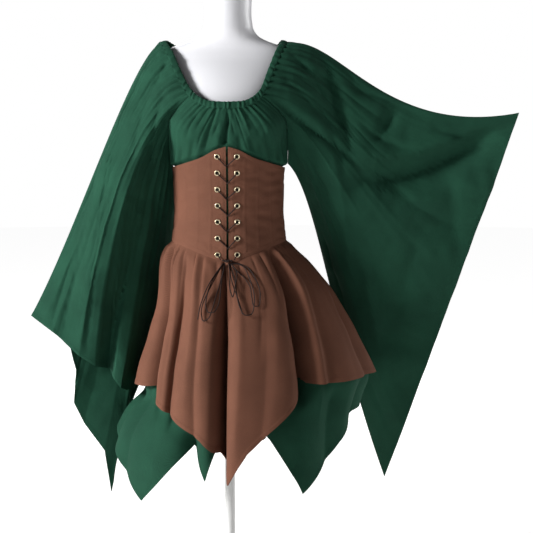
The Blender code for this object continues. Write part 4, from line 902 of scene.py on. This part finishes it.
def lacing():
    look = laceLook
    half = 0.001 * corsetLook["clothMm"] / 2
    out = half + 0.0007 + 0.0012 + look["radius"] + look["contact"]
    near = half + look["radius"] + 2 * look["contact"]
    leg = tableOf("share x depth", [
        (0.000, 1.000, 0.0000), (0.030, 0.940, out), (0.560, 0.080, near),
        (0.590, 0.000, 0.0000), (0.620, -0.080, -near), (0.985, -0.990, -near)])

    def strand(side):
        points = []
        for row in range(corsetLook["rows"] - 1):
            start = side * (1 if row % 2 == 0 else -1)
            z = corsetLook["topZ"] - corsetLook["pitch"] * (row + leg["share"])
            bump = look["lift"] * side * bell(leg["x"] / 0.5)
            points += list(onCorset(start * corsetLook["x"] * leg["x"], z + bump, leg["depth"])[0])
        last = side * (1 if (corsetLook["rows"] - 1) % 2 == 0 else -1)
        low = corsetLook["topZ"] - corsetLook["pitch"] * (corsetLook["rows"] - 1)
        for x, z, depth in ((corsetLook["x"], low, 0.0), (corsetLook["x"] * 0.95, low - 0.0012, out),
                            (0.0136, look["knotZ"] + 0.0010, 0.0062)):
            points.append(onCorset(np.array(last * x), np.array(z), np.array(depth))[0])
        return points

    top = [onCorset(np.array(x), np.array(corsetLook["topZ"] + 0.0012), np.array(-near))[0]
           for x in (-corsetLook["x"] * 0.97, -0.007, 0.007, corsetLook["x"] * 0.97)]
    route = np.array(strand(-1)[::-1] + top + strand(1))
    cordTube("frontLacing", finely(route), look["radius"], ["lacing"])


def finely(route, step=0.0016):  # keeps the route's own corners and adds points between them
    line = [route[0]]
    for a, b in zip(route, route[1:]):
        count = max(int(np.linalg.norm(b - a) / step), 1)
        line += [a + (b - a) * k / count for k in range(1, count + 1)]
    line = np.array(line)
    for _ in range(2):
        line[1:-1] = 0.25 * line[:-2] + 0.5 * line[1:-1] + 0.25 * line[2:]
    return line


def skirtFront(x, z):
    width = either(x, skirtCut, "left", "right", z)
    angle = np.degrees(np.arcsin(np.clip(x / width, -0.9, 0.9)))
    edge = corsetEdge("bottom", angle)
    below = edge - z
    start = fullness(skirtCut, angle, edge) - section(corsetCut, angle, edge)[..., :2]
    y = fullness(skirtCut, angle, np.minimum(z, edge))[..., 1]
    y = y - start[..., 1] * (1 - ease(below / skirtLook["flareDrop"]))
    return y - skirtLook["pleatDepth"] * ease(below / skirtLook["pleatDrop"])


def bow():
    look = laceLook
    knotY = onCorset(np.array(0.0), np.array(look["knotZ"]), np.array(0.0))[0][1] - knotLook["inFront"]
    underKnot = look["knotZ"] - look["knot"][2] / 2 - look["contact"]
    for name, (node, layer, route) in bowRoutes.items():
        tail = "Tail" in name
        at = np.linspace(0, 1, 11 if tail else 15)
        x, fall = lookup(route, "x", at), lookup(route, "z", at)
        z = look["knotZ"] + fall - 0.0002
        front = skirtFront(x, z) - look["radius"] - 0.0006 - look["pitch"] * (layer - 1)
        start = knotY + look["pitch"] * (2 - layer)
        away = np.maximum(ease(-(fall + 0.0055) / 0.030), ease((np.abs(x) - 0.010) / 0.030))
        points = pointGrid(x, np.minimum(start * (1 - away) + front * away, front), z)
        for end, inside in ((0, 1), (-1, -2))[:1 if tail else 2]:
            way = points[end] - points[inside]
            points[end][2] = underKnot - look["radius"] * np.hypot(way[0], way[1]) / np.linalg.norm(way)
        line = smoothLine(points)
        piece = cordTube(name, line, look["radius"], [node])
    knot, z = knotLook, look["knotZ"]
    turns = np.linspace(0, 2 * math.pi * knot["turns"], 90)
    wrap = pointGrid(np.linspace(-1, 1, 90) * knot["wrapHalf"], knotY - knot["wrapDeep"] * np.cos(turns),
                     z + knot["wrapTall"] * np.sin(turns))
    sway = np.linspace(-1, 1, 60)
    bend = knot["bend"] * np.cos(sway * 4)
    through = pointGrid(knot["throughHalf"] * sway, knotY - bend, z + 0.0012 * np.sin(sway * 5) - 0.0006)
    below = pointGrid(knot["belowHalf"] * sway, knotY + bend, z - 0.0014 * np.cos(sway * 3.2))
    parts = [cordTube(f"knotPart{i}", line, look["radius"], []) for i, line in enumerate((wrap, through, below))]
    joinPieces("bowKnot", parts, ["bow_knot"])


def joinPieces(name, parts, nodes):  # several meshes as one piece
    verts, faces, uvs = [], [], []
    for part in parts:
        first = len(verts)
        corner = {loop.vertex_index: part.data.uv_layers[0].data[loop.index].uv[:] for loop in part.data.loops}
        verts += [v.co[:] for v in part.data.vertices]
        uvs += [corner.get(i, (0.0, 0.0)) for i in range(len(part.data.vertices))]
        faces += [[first + i for i in face.vertices] for face in part.data.polygons]
    finish = parts[0].data.materials[0]
    for part in parts:
        bpy.data.objects.remove(part)
    return addPiece(name, verts, faces, uvs, finish, nodes, 60)


# Skirts: how far the cloth stands out on each side, its deep folds, and the points of its hem by angle
skirtLook = {"pleats": 14, "pleatDepth": 0.0045, "brownMm": 1.0, "brownHemMm": 2.2, "greenMm": 0.8, "greenHemMm": 1.7,
             "hemWidth": 0.010, "gap": 0.0003, "clear": 0.011, "layers": 0.017, "inside": 0.004,
             # how far below the corset's edge the pleats, the flare and the deep folds are fully grown
             "pleatDrop": 0.05, "flareDrop": 0.13, "foldDrop": 0.16, "spreadTopZ": 0.96, "spreadZ": 0.62,
             # gathers at the waist, and soft folds that drift as they fall
             "gathers": 40, "gatherMm": 8.5, "gatherDrop": 0.014, "gatherReach": 0.060, "reachSpread": 0.035,
             "foldMm": 3.6, "foldEvery": 9, "foldHalf": 2.6, "foldDrift": 5.0, "crumpleMm": 1.2, "crumpleSize": 0.09}
skirtCut = tableOf("z left right front back", [
    (0.480, 0.370, 0.228, 0.255, 0.250), (0.600, 0.355, 0.222, 0.246, 0.240), (0.700, 0.328, 0.207, 0.228, 0.220),
    (0.790, 0.283, 0.178, 0.198, 0.188), (0.850, 0.249, 0.160, 0.174, 0.166), (0.893, 0.222, 0.152, 0.154, 0.148),
    (0.940, 0.178, 0.147, 0.128, 0.120), (0.965, 0.152, 0.141, 0.113, 0.104), (0.992, 0.1255, 0.1250, 0.1020, 0.0930)])
underCut = tableOf("z left right front back", [
    (0.380, 0.262, 0.268, 0.240, 0.238), (0.500, 0.272, 0.268, 0.240, 0.238), (0.580, 0.280, 0.252, 0.236, 0.234),
    (0.620, 0.288, 0.228, 0.230, 0.226), (0.660, 0.300, 0.190, 0.214, 0.208), (0.700, 0.308, 0.184, 0.205, 0.198)])
skirtFolds = tableOf("waist hem depth half lean", [
    (-153, -150, 0.040, 6, 0.3), (-122, -118, 0.032, 6, -0.3), (-90, -84, 0.014, 6, 0), (-64, -48, 0.066, 4.6, -0.25),
    (-40, -34, 0.020, 3.4, -0.3), (-24, -18, 0.008, 3.4, 0.2), (-3, -3, 0.074, 4.2, 0.12), (22, 12, 0.004, 5, 0),
    (42, 30, 0.070, 4.5, 0.2), (57, 40, 0.016, 5, -0.2), (80, 66, 0.016, 6, 0.3), (112, 108, 0.038, 6, -0.3),
    (140, 140, 0.030, 6, 0.3), (176, 178, 0.040, 6, 0.2)])
underFolds = tableOf("angle depth half", [
    (-143, 0.040, 7), (-112, 0.030, 7), (-82, 0.014, 6), (-62, 0.012, 6), (-20, 0.040, 5), (-5, 0.018, 4),
    (19, 0.055, 5), (46, 0.012, 6), (72, 0.018, 7), (100, 0.024, 7), (133, 0.040, 7), (179, 0.030, 8)])
skirtHem = tableOf("angle z", [
    (-180, 0.510), (-142, 0.668), (-92, 0.680), (-52, 0.690), (-48.5, 0.688), (-44, 0.668), (-24, 0.626),
    (-14, 0.604), (-8, 0.580), (-5, 0.574), (0, 0.510), (4, 0.552), (7, 0.580), (26, 0.680), (32, 0.706),
    (70, 0.706), (90, 0.700),
    (142, 0.668), (180, 0.510)])
underHem = tableOf("angle z", [
    (-180, 0.580), (-163, 0.450), (-143, 0.600), (-112, 0.560), (-90, 0.575), (-68, 0.530), (-47, 0.464),
    (-21, 0.585), (-12, 0.517), (-5, 0.600), (19, 0.600), (26, 0.520), (30, 0.479), (55, 0.570), (75, 0.622),
    (110, 0.630), (133, 0.600), (157, 0.435), (180, 0.580)])


def fullness(rows, angle, z):
    a = np.radians(angle)
    wide = either(np.sin(a), rows, "left", "right", z)
    deep = either(np.cos(a), rows, "front", "back", z)
    return pointGrid(wide * np.sin(a), -deep * np.cos(a))


def dips(rows, key, at, worth="depth"):
    amounts = rows["depth"] * (1 if worth == "depth" else rows[worth])
    return sum(d * crease((at - c) / h) for c, d, h in zip(rows[key], amounts, rows["half"]))


def skirtHeights(edge, outerHem, low):  # rows from the waist to the hem, close together at the doubled hem
    if low is None:
        share = np.concatenate([np.linspace(0, 1, 78) ** 1.1 * 0.97, [0.976, 0.982, 0.988, 0.994, 1.0]])[:, None]
        return (edge - skirtLook["gap"]) * (1 - share) + outerHem * share
    knee = np.maximum(outerHem, low + 0.03)
    lower = np.concatenate([np.linspace(0, 0.95, 44)[1:], [0.965, 0.98, 0.99, 1.0]])
    rows = [0 * edge + bodiceLook["waistZ"], edge - 0.002]
    rows += [edge + (knee - edge) * s for s in np.linspace(0.04, 1.0, 30)]
    return np.array(rows + [knee + (low - knee) * s for s in lower])


def skirtRelief(columns, angle, z, below, left, seed):  # soft folds, and gathers that die away below the waist
    look = skirtLook
    first, last = columns.min(), columns.max()
    ends = ease((columns - first) / 5) * ease((last - columns) / 5)
    span = (first + 4, last - 4)
    drift = driftingFolds(columns[None, :], np.clip(below / 0.40, 0, 1.2), int((span[1] - span[0]) / look["foldEvery"]),
                          seed, span, look["foldHalf"], 0.001 * look["foldMm"], look["foldDrift"])
    rough = 0.001 * look["crumpleMm"] * crumple(pointGrid(angle * 0.003, z, 0 * z), look["crumpleSize"], seed)
    index = columns * look["gathers"] / 360 + 0.25 * np.sin(columns * 0.11) + 0.2 * np.sin(columns * 0.23)
    reach = look["gatherReach"] + look["reachSpread"] * np.sin(index * 3.9)
    tall = 0.001 * look["gatherMm"] * (0.7 + 0.3 * np.sin(index * 5.3)) * np.abs(np.cos(math.pi * index)) ** 0.7
    return ((drift * np.tanh(left) + rough) * ends,
            tall * ends * ease(below / look["gatherDrop"]) * np.exp(-below / reach))


def skirtGrid(columns, under, seed):
    look = skirtLook
    edge = corsetEdge("bottom", columns)
    hemAngle = np.interp(columns, [-180, *skirtFolds["waist"], 180], [-180, *skirtFolds["hem"], 180])
    outerHem = straight(skirtHem, "z", hemAngle)
    z = skirtHeights(edge, outerHem, straight(underHem, "z", hemAngle) if under else None)
    grown = np.clip((look["spreadTopZ"] - z) / (look["spreadTopZ"] - look["spreadZ"]), 0, 1.25)
    angle = columns + (hemAngle - columns) * np.clip(grown, 0, 1)
    below = edge - z
    inset = -bodiceLook["underCorset"] if under else 0.0
    waist = section(corsetCut, columns + 0 * z, np.maximum(z, edge), inset)[..., :2]
    settle = ease(below / look["flareDrop"])[..., None]
    start = fullness(skirtCut, angle, edge + 0 * z)
    flat = fullness(skirtCut, angle, np.minimum(z, edge)) + (waist - start) * (1 - settle)
    radius = np.hypot(flat[..., 0], flat[..., 1])
    started = ease(below / look["pleatDrop"])
    pleats = look["pleatDepth"] * np.cos(np.radians(columns) * look["pleats"]) * started * np.exp(-grown * 2.2)
    core = section(formCut, columns + 0 * z, z)
    room = np.maximum(radius - np.hypot(core[..., 0], core[..., 1]) - look["clear"], 0.001)
    deepen = np.clip(below / look["foldDrop"], 0, 1) ** 0.75
    wanted = dips(skirtFolds, "waist", columns) * deepen
    sink = room * np.tanh(wanted / room)  # a fold never reaches the form
    aside = dips(skirtFolds, "waist", columns, "lean") * deepen * sink / np.maximum(wanted, 1e-6)
    left = (room - sink) / 0.03  # what is left between the fold and the form draws the layers together
    lift, gathered = skirtRelief(columns, angle, z, below, left, seed)
    sink = sink - pleats - lift * started - gathered
    if under:
        outer = radius - sink
        sink = sink + look["layers"] * ease(below / 0.08) * np.tanh(0.2 + np.maximum(left, 0))
        own = np.hypot(*np.moveaxis(fullness(underCut, angle, z), -1, 0)) - dips(underFolds, "angle", hemAngle) - lift
        free = ease((outerHem + 0.025 - z) / 0.07)
        inner = (radius - sink) * (1 - free) + own * free
        covered = ease((z - outerHem + 0.012) / 0.012)  # under the brown cloth it stays inside it
        inner = np.minimum(inner, outer - look["inside"]) * covered + inner * (1 - covered)
        sink = radius - inner
        aside = aside * (1 - free)
    sideways = np.stack([-flat[..., 1], flat[..., 0]], axis=-1) / radius[..., None]
    flat = flat * (1 - sink / radius)[..., None] + sideways * aside[..., None]
    return np.concatenate([flat, z[..., None]], axis=-1)


def skirts():
    hems = {"overskirt": [], "underskirt": []}
    halves = {"Front": ((-90, 90, 241, 61),), "Back": ((90, 180, 121, 71), (-180, -90, 121, 81))}
    for label, kind, finish in (("underskirt", "green", cotton), ("overskirt", "brown", twill)):
        for half, spans in halves.items():
            grids = [skirtGrid(np.linspace(a, b, count), finish is cotton, seed) for a, b, count, seed in spans]
            grid = np.concatenate([grids[0]] + [g[:, 1:] for g in grids[1:]], axis=1)
            base, turned = (0.001 * skirtLook[kind + k] for k in ("Mm", "HemMm"))
            thick = hemThickness(grid, base, turned, skirtLook["hemWidth"])
            obj, outer = shell(label + half, grid, thick, finish, (0, 0, 0.7), [f"{label}_{half.lower()}"])
            hems[label].append(alongHem(outer, skirtLook["hemWidth"] - 0.001))
    stitchRows("overskirtStitching", hems["overskirt"], twill, (0, 0, 1.2))
    stitchRows("underskirtStitching", hems["underskirt"], cotton, (0, 0, 1.2))


# Studio: a pale floor, a soft light high on the left, weaker ones at the right side and behind, pale surroundings
studioLook = {"floor": "#f3f2f0", "keyWatts": 230, "sideWatts": 60, "backWatts": 80, "surroundings": 0.02,
              "glowNear": 0.10, "glowFar": 0.95}


def studio():
    made, tree, shader = newMaterial("paleStudioFloor", Roughness=0.9, Specular_IOR_Level=0.2)
    at = addNode(tree, "ShaderNodeTexCoord").outputs["Object"]
    grain = addNode(tree, "ShaderNodeTexNoise", {"Vector": at, "Scale": 3.0, "Detail": 4.0})
    tree.links.new(twoTones(tree, grain.outputs["Fac"], "#efeeec", studioLook["floor"]), shader.inputs["Base Color"])
    away = addNode(tree, "ShaderNodeVectorMath", {0: at}, operation="LENGTH").outputs["Value"]
    # The floor glows more with distance, so that it meets the pale surroundings without a line
    glow = addNode(tree, "ShaderNodeMapRange", {0: away, 1: 0.6, 2: 4.5, 3: studioLook["glowNear"],
                                                4: studioLook["glowFar"]})
    shader.inputs["Emission Color"].default_value = (1, 1, 1, 1)
    tree.links.new(glow.outputs[0], shader.inputs["Emission Strength"])
    bm = bmesh.new()
    bmesh.ops.create_circle(bm, cap_ends=True, segments=128, radius=14.0)
    mesh = bpy.data.meshes.new("studioFloor")
    bm.to_mesh(mesh)
    bm.free()
    mesh.materials.append(made)
    floor = addToScene(bpy.data.objects.new("studioFloor", mesh))
    floor.location.z = -0.0005
    for name, place, size, watts in (("softLeft", (-3.2, -1.5, 2.2), 0.9, studioLook["keyWatts"]),
                                     ("softRight", (3.4, 1.1, 1.9), 2.0, studioLook["sideWatts"]),
                                     ("softBack", (-0.9, 3.2, 2.4), 2.4, studioLook["backWatts"])):
        light = bpy.data.lights.new(name, "AREA")
        light.size = size
        light.energy = watts
        lamp = addToScene(bpy.data.objects.new(name, light))
        lamp.location = place
        lamp.rotation_euler = (Vector((0.05, 0, 1.0)) - lamp.location).to_track_quat("-Z", "Y").to_euler()
    bpy.context.scene.view_settings.view_transform = "Standard"
    world = bpy.data.worlds.new("paleSurroundings")
    bpy.context.scene.world = world
    world.use_nodes = True
    tree = world.node_tree
    sky = tree.nodes["Background"]
    sky.inputs["Color"].default_value = (1, 1, 1, 1)
    sky.inputs["Strength"].default_value = studioLook["surroundings"]
    white = addNode(tree, "ShaderNodeBackground", {"Color": (1, 1, 1, 1), "Strength": 1.0})
    path = addNode(tree, "ShaderNodeLightPath")
    both = addNode(tree, "ShaderNodeMixShader",
                   {0: path.outputs["Is Camera Ray"], 1: sky.outputs[0], 2: white.outputs[0]})
    tree.links.new(both.outputs[0], tree.nodes["World Output"].inputs["Surface"])


bow()
lacing()
print("lace and bow made")
corset()
print("corset made")
neckCasing()
bodicePanel("bodiceFront", "bodice_front", False)
bodicePanel("bodiceBack", "bodice_back", True)
print("bodice made")
hems = []
for way, label, cut in ((1, "Left", leftSleeve), (-1, "Right", rightSleeve)):
    for layer in ("Front", "Back"):
        hems.append(sleevePanel(f"sleeve{label}{layer}", f"sleeve_{label.lower()}_{layer.lower()}", cut, way,
                                layer == "Back"))
stitchRows("sleeveStitching", hems, cotton, (0.1, 0.0, 1.6))
print("sleeves made")
skirts()
print("skirts made")
dressForm()
studio()
